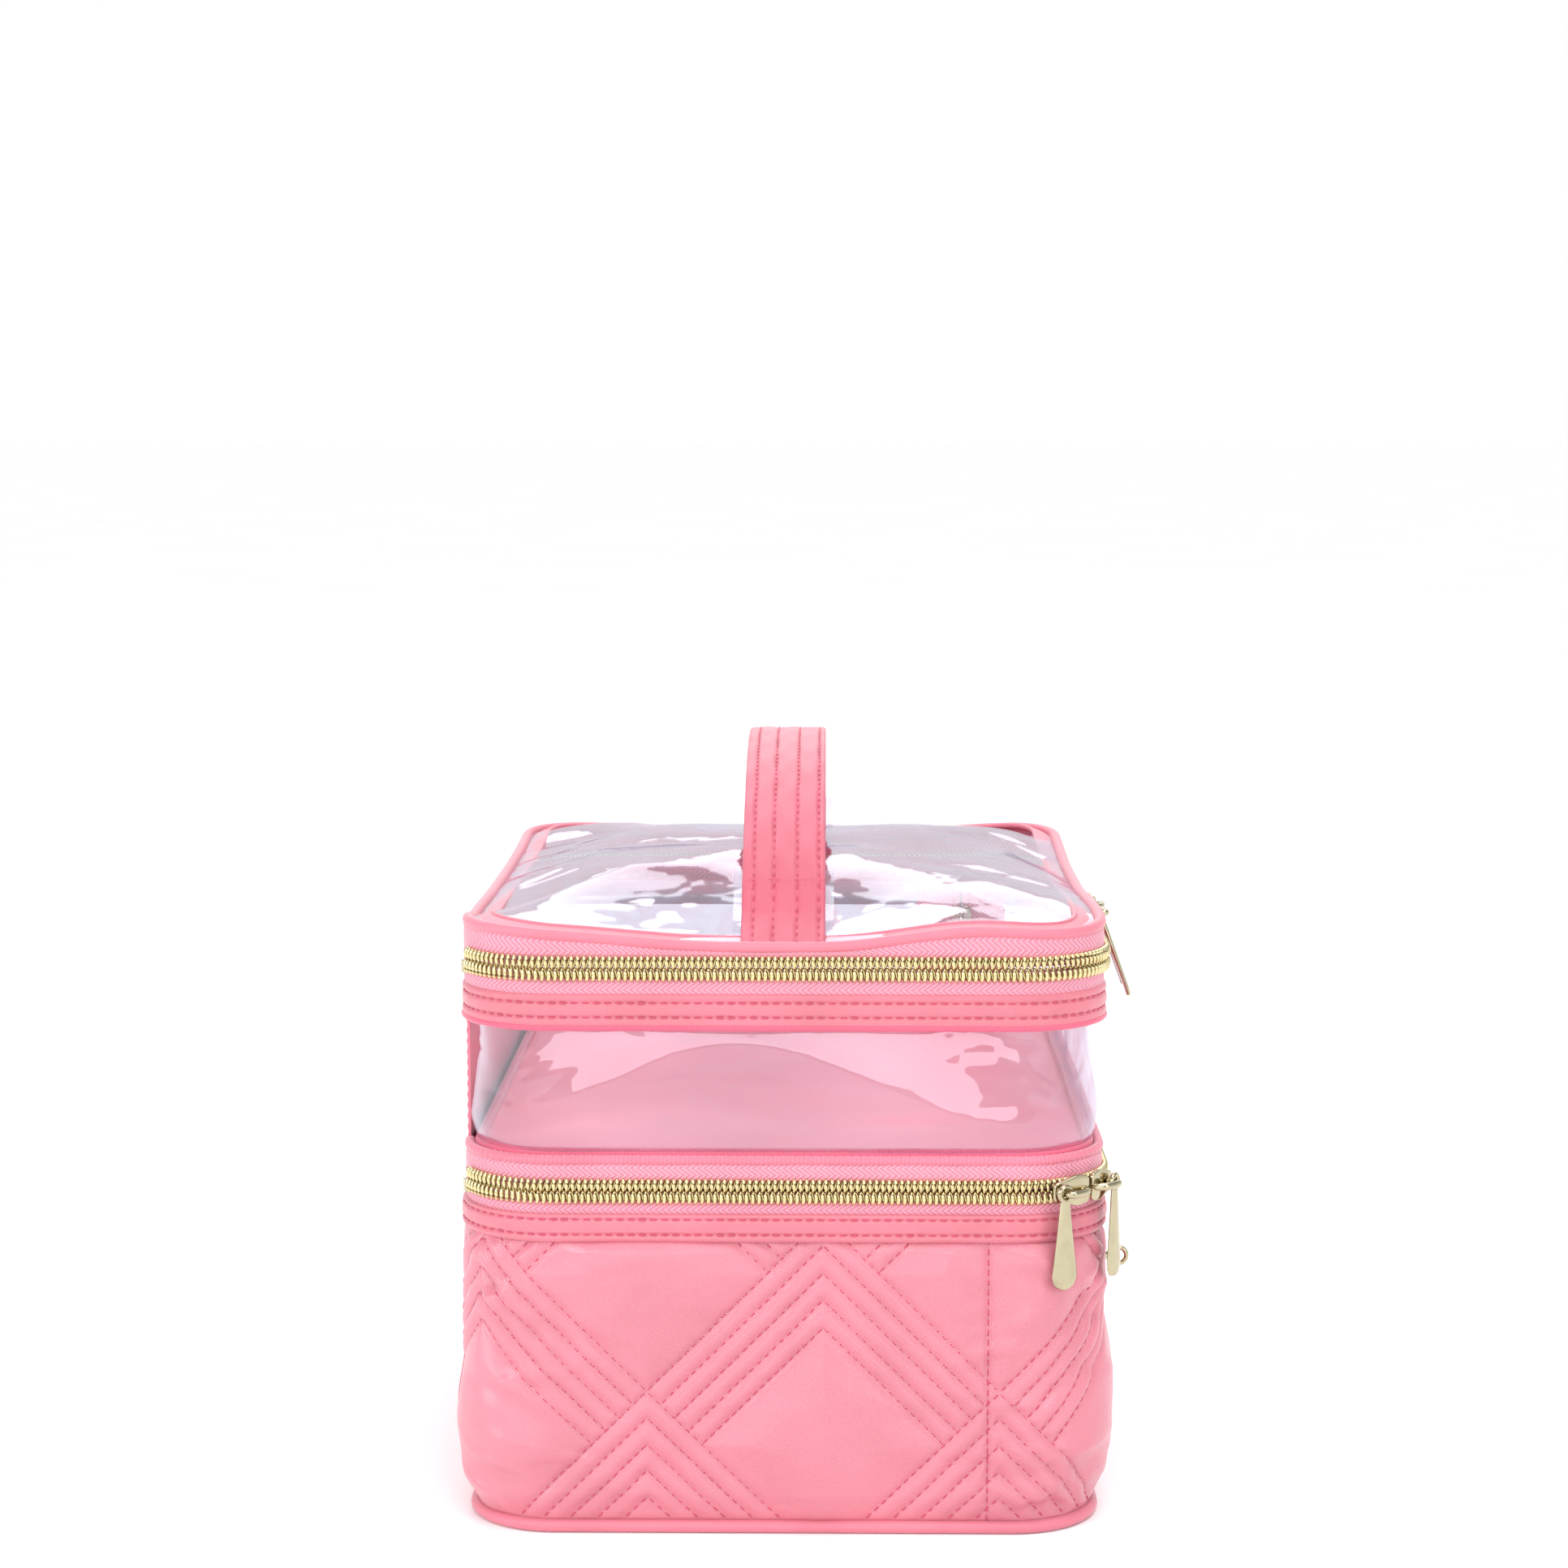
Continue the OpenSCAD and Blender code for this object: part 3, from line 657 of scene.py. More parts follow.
HALF_GAP = 0.6 * MM
tape("lower_zip_tape_bottom", "lower_case", WALL_TOP - 1 * MM, LOWER_SEAM - HALF_GAP)
tape("lower_zip_tape_top", "upper_deck", LOWER_SEAM + HALF_GAP, DECK_FLOOR - 1.5 * MM)
tape("upper_zip_tape_bottom", "upper_deck", UPPER_BAND[1] - 1 * MM, UPPER_SEAM - HALF_GAP)
tape("upper_zip_tape_top", "lid", UPPER_SEAM + HALF_GAP, RIM_Z + 1 * MM, lift=1.0)


def cord_piece(name, node, body, out, z, r, s, loop, cloth, lift=0.0, ribs=0.0, tail=0.0,
               flange=0.0):
    """Round piping, with a rib every 2.4 mm, a flat sewn tail or an inner flange if asked."""
    rise = z + lift * rim_lift(s)
    a = around(16)
    grow = r * (1 + ribs * np.sin(s[:, None] * 2 * math.pi / (2.4 * MM) + 1.5 * np.sin(a)))
    section = join(out + grow * np.cos(a), rise[:, None] + grow * np.sin(a))
    shape = Shape()
    sweep(shape, s, section, loop=loop)
    if tail:
        flat = np.array(strip_section(out + r * 0.55, -tail, 0, 0.7 * MM, 5, 0.1 * MM))
        flat = np.broadcast_to(flat, (len(s),) + flat.shape).copy()
        flat[..., 1] += rise[:, None] - r * 0.6
        sweep(shape, s, flat, loop=loop)
    if flange:
        t = np.linspace(0, 1, 12)
        across = out - r * 0.6 - t * flange
        top = 1.0 * MM + 2.6 * MM * t**0.8 + 0.3 * MM * np.sin(math.pi * t)
        face = join(across, top)
        back = join(across[::-1], top[::-1] - 0.8 * MM)
        flat = np.broadcast_to(np.vstack([back, face]), (len(s), 24, 2)).copy()
        flat[..., 1] += rise[:, None] - r
        sweep(shape, s, flat, loop=loop)
        height = (top[-1] - r - 0.2 * MM) + 0.8 * MM * np.sin(a) + rise[:, None]
        sweep(shape, s, join(across[-1] + 0.8 * MM * np.cos(a), height), loop=loop)
    fit(shape.build(name, [cloth]), node, body)


fine_loop = even_steps(S_START, S_LOOP, 0.8 * MM)[:-1]
fine_wrap = even_steps(S_START, S_BACK, 0.4 * MM)
cord_piece("base_piping_cord", "base_piping", "lower_case", -2.3 * MM, 1.9 * MM, 1.9 * MM, fine_loop, True,
           cord_cloth)
cord_piece("divider_piping_cord", "divider_piping", "upper_deck", -1.2 * MM, DECK_FLOOR - 0.6 * MM, 1.5 * MM,
           fine_wrap, False, piping_cloth, ribs=0.05, tail=1.4 * MM)
cord_piece("lid_piping_cord", "lid_piping", "lid", -1.4 * MM, RIM_Z + 1.8 * MM, 1.8 * MM, fine_loop, True,
           cord_cloth, lift=1.0, flange=6.5 * MM)


# ---- zip coils
COIL_PITCH = 1.87 * MM


def coil_path(start, turns, shift):
    """Arc length, distance from the seam, outward lift and wire radius of one row of coil teeth.

    The front of each loop stands upright; the wire moves on to the next loop behind it."""
    t = np.arange(0, turns * 14 + 1) / 14.0
    u = t % 1
    front = u < 0.55
    phase = math.pi * np.where(front, u / 0.55, 1 + (u - 0.55) / 0.45)
    advance = np.where(front, 0.06 * u / 0.55, 0.06 + 0.94 * (u - 0.55) / 0.45)
    s = start + (np.floor(t) + advance + shift) * COIL_PITCH
    reach = (1.66 + 1.74 * np.cos(phase)) * MM
    lift = (0.6 + 0.68 * np.sign(np.sin(phase)) * np.abs(np.sin(phase)) ** 0.65) * MM
    radius = (0.38 + 0.29 * np.clip(reach / (1.5 * MM), 0, 1) ** 1.2) * MM
    return s, reach, lift, radius


def coil(name, node, body, seam, side, shift):
    start, end = S_START + TEETH_CUT, S_BACK - TEETH_CUT
    s, reach, lift, radius = coil_path(start, int((end - start) / COIL_PITCH) - 1, shift)
    shape = Shape()
    tube(shape, track(s, lift, seam + side * reach), radius, 7)
    fit(shape.build(name, [coil_gold]), node, body)


coil("lower_coil_bottom", "lower_zip_teeth_bottom", "lower_case", LOWER_SEAM, -1, 0.0)
coil("lower_coil_top", "lower_zip_teeth_top", "upper_deck", LOWER_SEAM, 1, 0.5)
coil("upper_coil_bottom", "upper_zip_teeth_bottom", "upper_deck", UPPER_SEAM, -1, 0.0)
coil("upper_coil_top", "upper_zip_teeth_top", "lid", UPPER_SEAM, 1, 0.5)


# ---- clear deck wall
def ridge_height(s):
    """Where the slack wall bulges furthest: an arch over each face, low at the corners."""
    faces = ((-13, 52), (222, 70), (452, 52))
    bumps = (27 * MM * np.exp(-(((s - centre * MM) / (wide * MM)) ** 2)) for centre, wide in faces)
    return sum(bumps) + 8 * MM


def vinyl_wall():
    s = even_steps(S_START, S_BACK, 1.3 * MM)
    z = np.linspace(DECK_FLOOR - 0.5 * MM, UPPER_BAND[0] + 3 * MM, 46)
    gs, gz = np.meshgrid(s, z, indexing="ij")
    h = gz - z[0]
    ridge = ridge_height(gs)
    spans = ((S_START, S_BACK), (z[0], z[-1]))
    hold = np.sin(math.pi * np.clip(h / (z[-1] - z[0]), 0.03, 0.97)) ** 0.6
    soft = creases(gs, gz, 70, spans, 34 * MM, 7 * MM, 11, (0.2, 2.9))
    fine = creases(gs, gz, 200, spans, 17 * MM, 1.7 * MM, 12, (-0.9, 0.9))
    corner = near_corner(gs, 26 * MM)
    below = -3.8 * MM + 3.2 * MM * np.clip(h / ridge, 0, 1) ** 0.7
    peak = np.exp(-(((gs + 13 * MM) / (30 * MM)) ** 2)) + np.exp(-(((gs - 235 * MM) / (50 * MM)) ** 2))
    rise = np.maximum(h - ridge, 0)
    above = -0.6 * MM - 0.23 * (h - ridge) - 0.9 * MM * peak * (1 - np.exp(-rise / (4 * MM)))
    blend = 1 / (1 + np.exp(-(h - ridge) / (1.2 * MM)))
    wrinkle = hold * (0.42 * MM * np.clip(soft, -2, 2) + (0.06 + 0.34 * corner) * MM * np.clip(fine, -2, 2))
    slack = np.maximum(below * (1 - blend) + above * blend, -6.5 * MM)
    taut = (-4.6 + 3.4 * h / (z[-1] - z[0])) * MM
    turn = near_corner(gs, 22 * MM) ** 1.5
    out = np.clip(slack * (1 - turn) + taut * turn + wrinkle, -6.5 * MM, 0.3 * MM)
    outer = join(out, gz)
    inner = outer[:, ::-1] - np.array([0.45 * MM, 0])
    shape = Shape()
    sweep(shape, s, np.concatenate([outer, inner], 1))
    fit(shape.build("clear_wall_sheet", [clear_vinyl]), "clear_wall", "upper_deck")


vinyl_wall()


# ---- clear domed top
CROWN = DOME_TOP - DOME_Z - 0.8 * MM
DOME_OUT = -2.2 * MM
DISC_HOLE = 0.004
FLOOR_SPAN = ((-HALF_X, HALF_X), (-HALF_Y, HALF_Y))


def dome_height(r, s):
    """Height of the domed top at ring r (1 at the rim, 0 at the middle) and track place s."""
    return DOME_Z + CROWN * (1 - r**2.3) + rim_lift(s) * r**4


def disc(shape, out, s, rings, height, thick, material=0):
    """A flat or domed sheet filling the track: height(x, y, r, s) gives its top.

    It runs from the middle of the top out to the rim and back underneath."""
    r = np.linspace(1, DISC_HOLE, rings)
    rim = track(s, out, 0.0)[:, :2]
    gx, gy = rim[:, None, 0] * r, rim[:, None, 1] * r
    top = join(gx, gy, height(gx, gy, r, s[:, None]))
    points = np.concatenate([top[:, ::-1], top - np.array([0, 0, thick])], 1)
    n, m = len(s), len(r)
    shape.grid(points, np.append(s, S_LOOP), np.arange(2 * m) * 1.5 * MM, wrap_u=True, material=material,
               flip=True)
    uv = points.reshape(-1, 3)[:, :2]
    faces = shape.loops[-1].reshape(-1, 4) - (shape.count - 2 * n * m)
    shape.uvs[-1] = uv[faces].reshape(-1, 2)
    shape.cap(points[:, -1], material, flip=True)
    shape.cap(points[:, 0], material)


def vinyl_top():
    s = even_steps(S_START, S_LOOP, 1.8 * MM)[:-1]
    def height(x, y, r, s):
        soft = creases(x, y, 40, FLOOR_SPAN, 75 * MM, 16 * MM, 21)
        fine = creases(x, y, 110, FLOOR_SPAN, 30 * MM, 2.6 * MM, 23)
        hold = np.clip((1 - r) / 0.1, 0, 1) ** 0.8
        rimward = np.clip((r - 0.45) / 0.4, 0, 1)
        bumps = 1.0 * MM * np.clip(soft, -1.6, 1.2) + (0.02 + 0.17 * rimward) * MM * np.clip(fine, -2, 2)
        return dome_height(r, s) + hold * bumps

    shape = Shape()
    disc(shape, DOME_OUT, s, 70, height, 0.45 * MM)
    fit(shape.build("clear_top_sheet", [clear_vinyl]), "clear_top", "lid")


vinyl_top()


# ---- linings and deck floor
def cloth_disc(name, node, body, cloth, out, top, thick, seed, rise, border=None):
    """A sewn-in cloth floor with soft folds, and a bound seam round its edge if asked."""
    def height(x, y, r, s):
        soft = creases(x, y, 34, FLOOR_SPAN, 70 * MM, 12 * MM, seed)
        return top + rise * np.clip((1 - r) / 0.1, 0, 1) * np.clip(soft + 0.4, -0.4, 2)

    shape = Shape()
    disc(shape, out, even_steps(S_START, S_LOOP, 3 * MM)[:-1], 44, height, thick)
    if border:
        sweep(shape, LOOP, circle_section(out - 0.6 * MM, top + border * 0.6, border), loop=True, material=1)
        roll = strip_section(out - 1.4 * MM, top - 0.2 * MM, top + border * 2.4, 1.1 * MM, 7, 0.3 * MM)
        sweep(shape, LOOP, roll, loop=True, material=1)
    fit(shape.build(name, [cloth, binding]), node, body)


cloth_disc("deck_floor_cloth", "divider_top", "upper_deck", lining, -3.2 * MM,
           DECK_FLOOR - 0.3 * MM, 1.2 * MM, 61, 0.55 * MM, border=1.1 * MM)
cloth_disc("deck_under_cloth", "divider_lining", "upper_deck", lining, -1.4 * MM,
           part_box("divider_lining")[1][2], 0.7 * MM, 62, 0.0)


def case_lining():
    """The cloth inside the lower case: a gathered wall and a floor."""
    lining_low, lining_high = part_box("lower_lining")
    z = np.linspace(lining_low[2] + 0.4 * MM, lining_high[2], 30)
    gs, gz = np.meshgrid(LOOP, z, indexing="ij")
    spans = ((S_START, S_LOOP), (z[0], z[-1]))
    soft = creases(gs, gz, 150, spans, 34 * MM, 4 * MM, 63, (1.1, 2.0))
    hold = np.sin(math.pi * np.clip((gz - z[0]) / (z[-1] - z[0]), 0, 1)) ** 0.4
    inner = join(-5.4 * MM - 0.35 * MM * hold * np.clip(soft + 0.5, 0, 2), gz)
    outer = join(-4.5 * MM, gz)
    shape = Shape()
    sweep(shape, LOOP, np.concatenate([outer, inner[:, ::-1]], 1), loop=True)
    for row in (2.2 * MM, 5.4 * MM):
        s = np.arange(S_START, S_LOOP, SEWN_PITCH)
        normal, along = track_axes(s)
        stitches(shape, track(s, -5.55 * MM, z[-1] - row), along, -normal, 2.4 * MM, 0.26 * MM, 1)

    def height(x, y, r, s):
        soft = creases(x, y, 30, FLOOR_SPAN, 60 * MM, 9 * MM, 64)
        return lining_low[2] + 0.8 * MM + 0.5 * MM * np.clip(soft, 0, 2)

    disc(shape, -4.7 * MM, even_steps(S_START, S_LOOP, 3 * MM)[:-1], 40, height, 0.8 * MM)
    fit(shape.build("lower_lining_cloth", [lining, thread]), "lower_lining", "lower_case")


case_lining()


# ---- inner pocket
POCKET_LOW, POCKET_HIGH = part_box("pocket_zip_tape")
POCKET_Y = (POCKET_LOW[1] + POCKET_HIGH[1]) / 2
POCKET_Z = (POCKET_LOW[2], POCKET_HIGH[2])


def upright(shape, x, y0, y1, z0, z1, thick, wave):
    """An upright sheet facing the inside of the case, from y0 to y1."""
    y, z = np.linspace(y0, y1, 40), np.linspace(z0, z1, 30)
    gy, gz = np.meshgrid(y, z, indexing="ij")
    spans = ((y0, y1), (z0, z1))
    soft = creases(gy, gz, 14, spans, 25 * MM, 5 * MM, int(abs(y0) * 1e4))
    edge = np.sin(math.pi * np.clip((gy - y0) / (y1 - y0), 0, 1)) ** 0.5
    face = x - wave * edge * np.clip(soft, -1.5, 1.5)
    front = join(face, gy, gz)
    back = front + np.array([thick, 0, 0])
    points = np.concatenate([front, back[:, ::-1]], 1)
    shape.skin(points, y, ring_lengths(points[0]), flip=True)


def pocket():
    shape = Shape()
    half = 83 * MM
    x = POCKET_HIGH[0] + 0.2 * MM
    for y0, y1 in ((-half, POCKET_LOW[1] + 5 * MM), (POCKET_HIGH[1] - 5 * MM, half)):
        upright(shape, x, y0, y1, POCKET_Z[0], POCKET_Z[1], 0.45 * MM, 0.5 * MM)
    panel = shape.build("pocket_panel_sheet", [patch_vinyl])
    shape = Shape()
    for y0, y1 in ((POCKET_LOW[1], POCKET_Y - 0.6 * MM), (POCKET_Y + 0.6 * MM, POCKET_HIGH[1])):
        upright(shape, POCKET_LOW[0], y0, y1, POCKET_Z[0], POCKET_Z[1], 0.9 * MM, 0.08 * MM)
        zs = np.arange(POCKET_Z[0] + 2 * MM, POCKET_Z[1] - 1 * MM, SEWN_PITCH)
        for y in (y0 + 2.2 * MM, y1 - 2.2 * MM):
            spots = join(POCKET_LOW[0] - 0.05 * MM, y, zs)
            up = np.broadcast_to([0, 0, 1.0], spots.shape)
            stitches(shape, spots, up, np.broadcast_to([-1.0, 0, 0], spots.shape), 2.3 * MM, 0.28 * MM, 1)
    tape_piece = shape.build("pocket_tape_woven", [tape_cloth, thread])
    shape = Shape()
    for side in (-1, 1):
        turns = int((POCKET_Z[1] - POCKET_Z[0]) / COIL_PITCH) - 1
        s, reach, lift, radius = coil_path(POCKET_Z[0] + 1 * MM, turns, 0.25 + 0.25 * side)
        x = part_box("pocket_zip_teeth")[0][0] + lift * 0.9
        path = join(x, POCKET_Y + side * reach * 0.8, s)
        tube(shape, path, radius * 0.85, 7)
    teeth = shape.build("pocket_coil", [coil_gold])
    fit(panel, "pocket_panel", "upper_deck")
    fit(tape_piece, "pocket_zip_tape", "upper_deck")
    fit(teeth, "pocket_zip_teeth", "upper_deck")


pocket()


# ---- back panels and fabric hinges
def back_panel(name, node, body, z0, z1, out, thick, puff):
    s = even_steps(S_BACK, S_LOOP, 1.5 * MM)
    t = np.linspace(0, 1, 40)
    z = z0 + (z1 - z0) * t
    gs, gt = np.meshgrid(s, t, indexing="ij")
    soft = creases(gs, gt * (z1 - z0), 26, ((S_BACK, S_LOOP), (0, z1 - z0)), 30 * MM, 6 * MM, 31)
    across = (gs - S_BACK) / (S_LOOP - S_BACK)
    hold = np.sin(math.pi * gt) ** 0.5 * np.sin(math.pi * np.clip(across, 0, 1)) ** 0.3
    face = out + hold * (puff + 0.18 * MM * soft)
    outer = join(face, z)
    inner = np.broadcast_to([[out - thick, z1], [out - thick, z0]], (len(s), 2, 2))
    shape = Shape()
    sweep(shape, s, np.concatenate([outer, inner], 1))
    for side in (S_BACK + 3.5 * MM, S_LOOP - 3.5 * MM):
        zs = np.arange(z0 + 3 * MM, z1 - 2 * MM, SEWN_PITCH)
        spot = np.full(len(zs), side)
        normal, _ = track_axes(spot)
        up = np.broadcast_to([0, 0, 1.0], normal.shape)
        stitches(shape, track(spot, out + puff * 0.45 + 0.1 * MM, zs), up, normal, 2.4 * MM, 0.24 * MM, 1)
    fit(shape.build(name, [hinge_cloth, thread]), node, body)


HINGE_REACH = 4.5 * MM
back_panel("upper_back_cloth", "upper_back_panel", "upper_deck", LOWER_SEAM + 3 * MM, UPPER_SEAM - 3 * MM,
           -0.6 * MM, 0.8 * MM, 0.5 * MM)
back_panel("lid_back_cloth", "lid_back_strip", "lid",
           UPPER_SEAM + 3 * MM, RIM_Z + 0.6 * MM, -0.5 * MM, 1.2 * MM,
           0.1 * MM)


def hinge_strip(name, seam):
    """The doubled cloth that crosses a fold line, sewn down above and below it."""
    s = even_steps(S_BACK - 1 * MM, S_LOOP, 2 * MM)
    t = np.linspace(-1, 1, 25)
    section = join(0.15 * MM + 0.15 * MM * np.cos(math.pi * t), seam + t * HINGE_REACH)
    inner = join(-0.55 * MM, seam + t[::-1] * HINGE_REACH)
    shape = Shape()
    sweep(shape, s, np.vstack([section, inner]))
    for side in (-0.8, 0.8):
        stitch_row(shape, S_BACK, S_LOOP, 0.08 * MM, seam + side * HINGE_REACH, SEWN_PITCH, 1)
    piece = shape.build(name, [hinge_cloth, thread])
    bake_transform(piece)
    return piece


hinge_strip("deck_hinge_cloth", LOWER_SEAM)
hinge_strip("lid_hinge_cloth", UPPER_SEAM)


# ---- handle
STRAP_W, STRAP_T = 25 * MM, 2.6 * MM
ARCH_R = 170 * MM
ARCH_Z = HANDLE_TOP - 1.25 * MM - ARCH_R
STRAP_SPLIT = 62 * MM
STITCH_LINES = (0.08, 0.34, 0.62, 0.86)


def strap_path(x):
    """Height of the strap's middle line: an arch that meets the lid and lies along it to the rim."""
    x = np.abs(x)
    arch = ARCH_Z + np.sqrt(ARCH_R**2 - np.minimum(x, 0.16) ** 2)
    flatten = 2.6 * MM * np.clip((x - 114 * MM) / (11 * MM), 0, 1)
    sewn = dome_height(x / (HALF_X + DOME_OUT), 0.0) + 2.6 * MM - flatten
    k = np.clip((x - 103 * MM) / (15 * MM), 0, 1)
    k = k * k * (3 - 2 * k)
    return arch * (1 - k) + sewn * k


def strap(x0, x1):
    """A stretch of the folded strap, with its four stitch lines."""
    x = np.linspace(x0, x1, int(abs(x1 - x0) / (1.0 * MM)) + 1)
    z = strap_path(x)
    slope = np.gradient(z, x)
    normal = join(-slope, 0, 1)
    normal /= np.linalg.norm(normal, axis=1)[:, None]
    w = np.linspace(-0.5, 0.5, 61)
    dip = sum(np.exp(-(((w + 0.5 - line) * STRAP_W / (0.7 * MM)) ** 2)) for line in STITCH_LINES)
    edge = np.sqrt(np.clip(1 - (np.abs(w) * 2) ** 14, 0, 1))
    half = STRAP_T / 2 * (0.35 + 0.65 * edge) - 0.42 * MM * dip
    wave = 0.14 * MM * np.sin(x / (3.1 * MM))[:, None] * np.sin(w * 17)
    centre = join(x, 0, z)
    across = join(0, w * STRAP_W, 0)
    top = centre[:, None] + across + normal[:, None] * (half + wave)[..., None]
    low = centre[:, None] + across - normal[:, None] * half[None, :, None]
    points = np.concatenate([top, low[:, ::-1]], 1)
    shape = Shape()
    shape.skin(points, lengths(centre), ring_lengths(points[0]), flip=x1 < x0)
    spots = np.arange(min(x0, x1) + 2 * MM, max(x0, x1) - 1 * MM, 3.2 * MM)
    order = np.argsort(x)
    sz = np.interp(spots, x[order], z[order])
    sn = np.stack([np.interp(spots, x[order], normal[order, i]) for i in range(3)], -1)
    sa = np.cross(np.array([0, 1.0, 0]), sn)
    for line in STITCH_LINES:
        for face in (1, -1):
            base = join(spots, (line - 0.5) * STRAP_W, sz)
            base = base + face * sn * (STRAP_T / 2 - 0.26 * MM)
            stitches(shape, base, sa, face * sn, 2.2 * MM, 0.3 * MM, 1)
    return shape


middle = strap(-STRAP_SPLIT, STRAP_SPLIT).build("handle_strap_middle", [strap_cloth, thread], sharp=50)
fit(middle, "handle_strap", "handle")

STRAP_END = HALF_X - 1.2 * MM
SEAM_X = 104 * MM
for side, node in ((-1, "handle_end_left"), (1, "handle_end_right")):
    shape = strap(side * STRAP_SPLIT, side * STRAP_END)
    # the sewn-down seam across the strap, and a bar of stitches beside it
    for k in (0, 2.2 * MM):
        w = np.arange(-11.5 * MM, 11.6 * MM, 2.6 * MM)
        spot = np.full(len(w), side * (SEAM_X + k))
        base = join(spot, w, strap_path(spot) + STRAP_T / 2 + 0.12 * MM)
        tilt = np.broadcast_to(Vector((side * 0.4, 0, 1)).normalized(), base.shape)
        stitches(shape, base, np.broadcast_to([0, 1.0, 0], base.shape), tilt, 2.0 * MM, 0.26 * MM, 1)
    piece = shape.build(f"{node}_cloth", [strap_cloth, thread], sharp=50)
    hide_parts(node)
    start = (side * 112 * MM, 0, strap_path(112 * MM))
    end = (side * 70 * MM, 0, strap_path(112 * MM))
    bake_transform(piece)


def patches():
    """Clear patches under the strap's sewn ends, a little wider than the strap."""
    shape = Shape()
    for side in (-1, 1):
        x = np.linspace(97 * MM, STRAP_END, 24)
        w = np.linspace(-15 * MM, 15 * MM, 30)
        gx, gw = np.meshgrid(x, w, indexing="ij")
        z = strap_path(gx) - 1.9 * MM - 0.25 * MM * np.cos(gw / (3 * MM)) * np.sin(gx / (5 * MM))
        top = join(side * gx, gw, z)
        points = np.concatenate([top, (top - np.array([0, 0, 0.5 * MM]))[:, ::-1]], 1)
        shape.skin(points, x, ring_lengths(points[0]), flip=side < 0)
    fit(shape.build("handle_patch_sheets", [patch_vinyl], sharp=50), "handle_patches", "lid")


patches()


# ---- sliders and pulls
SLIDER_GAP = 6.9 * MM
PULL_GAP = 5.4 * MM
POST_X = 4 * MM
UPPER_MEET_X = -6 * MM


def on_front(x, z):
    return Matrix.Translation((x, -HALF_Y, z)) @ Matrix.Rotation(math.pi, 4, "Z")


def on_corner(degrees, z):
    turn = Matrix.Rotation(math.radians(90 + degrees), 4, "Z")
    return Matrix.Translation((-STRAIGHT_X, -STRAIGHT_Y, z)) @ turn @ Matrix.Translation((0, CORNER, 0))


def rounded(points, radius, steps=5):
    """A polygon with its corners rounded, as an (n, 2) array."""
    points = np.asarray(points, float)
    made = []
    for i, p in enumerate(points):
        a, b = points[i - 1] - p, points[(i + 1) % len(points)] - p
        la, lb = np.linalg.norm(a), np.linalg.norm(b)
        cut = min(radius, la * 0.45, lb * 0.45)
        p0, p1 = p + a / la * cut, p + b / lb * cut
        for t in np.linspace(0, 1, steps):
            made.append((1 - t) ** 2 * p0 + 2 * t * (1 - t) * p + t**2 * p1)
    return np.array(made)


def plate(shape, outline, y0, y1, edge, crown=0.0):
    """An (x, z) outline made into a plate from y0 to y1, with rounded edges."""
    centre = outline.mean(0)
    radius = np.linalg.norm(outline - centre, axis=1).mean()
    layers = []
    for t in np.linspace(0, math.pi / 2, 4):
        layers.append((1 - (1 - math.cos(t)) * edge / radius, y0 + edge * (1 - math.sin(t))))
    layers = layers[::-1]
    layers += [(k, y0 + y1 - y) for k, y in layers[::-1]]
    for k in (0.75, 0.45, 0.15):
        layers.append((k, y1 + crown * (1 - k)))
    rings = np.array([[(centre[0] + (p[0] - centre[0]) * k, y, centre[1] + (p[1] - centre[1]) * k)
                       for p in outline] for k, y in layers])
    shape.skin(rings, np.arange(len(layers)) * MM, np.arange(len(outline) + 1) * MM, flip=True)


def slider_shape():
    """One zip slider with its nose towards +x: face plate, bridge, post and inner plate."""
    shape = Shape()
    face = np.array([(-6.5, -2.8), (-6.5, 2.8), (-2.0, 3.7), (2.6, 4.9), (6.5, 3.9), (6.5, 0.9), (5.2, 0.0),
                     (6.5, -0.9), (6.5, -3.9), (2.6, -4.9), (-2.0, -3.7)]) * MM
    plate(shape, rounded(face, 1.6 * MM), 2.2 * MM, 3.5 * MM, 0.45 * MM, crown=0.35 * MM)
    inner = np.array([(-5, -4.4), (-5, 4.4), (5, 4.4), (5, -4.4)]) * MM
    plate(shape, rounded(inner, 1.2 * MM), -3.1 * MM, -1.9 * MM, 0.3 * MM)
    bridge = np.array([(5.0, 3.0), (4.9, 4.2), (4.1, 5.6), (2.4, 6.8), (0.2, 7.4), (-2.2, 7.5), (-3.6, 7.2),
                       (-4.0, 6.4), (-4.0, 5.2), (-4.0, 3.2)]) * MM
    t = np.linspace(0, len(bridge) - 1, 40)
    path = np.stack([np.interp(t, range(len(bridge)), bridge[:, i]) for i in (0, 1)], -1)
    for _ in range(6):
        path[1:-1] = (path[:-2] + 2 * path[1:-1] + path[2:]) / 4
    wide = np.interp(np.arange(40), (0, 22, 30, 39), (1.1, 1.2, 0.8, 0.8)) * MM
    spine = join(path[:, 0], path[:, 1], 0)
    tube(shape, spine, wide, 12)
    wedge = np.array([(0.5, -0.5), (0.5, 0.5), (4.6, 0.5), (4.6, -0.5)]) * MM
    plate(shape, rounded(wedge, 0.3 * MM), -2.1 * MM, 2.4 * MM, 0.1 * MM)
    return shape


PULL_L, TIP_R, EYE_R, EYE_HOLE = 29 * MM, 4.6 * MM, 2.9 * MM, 1.25 * MM


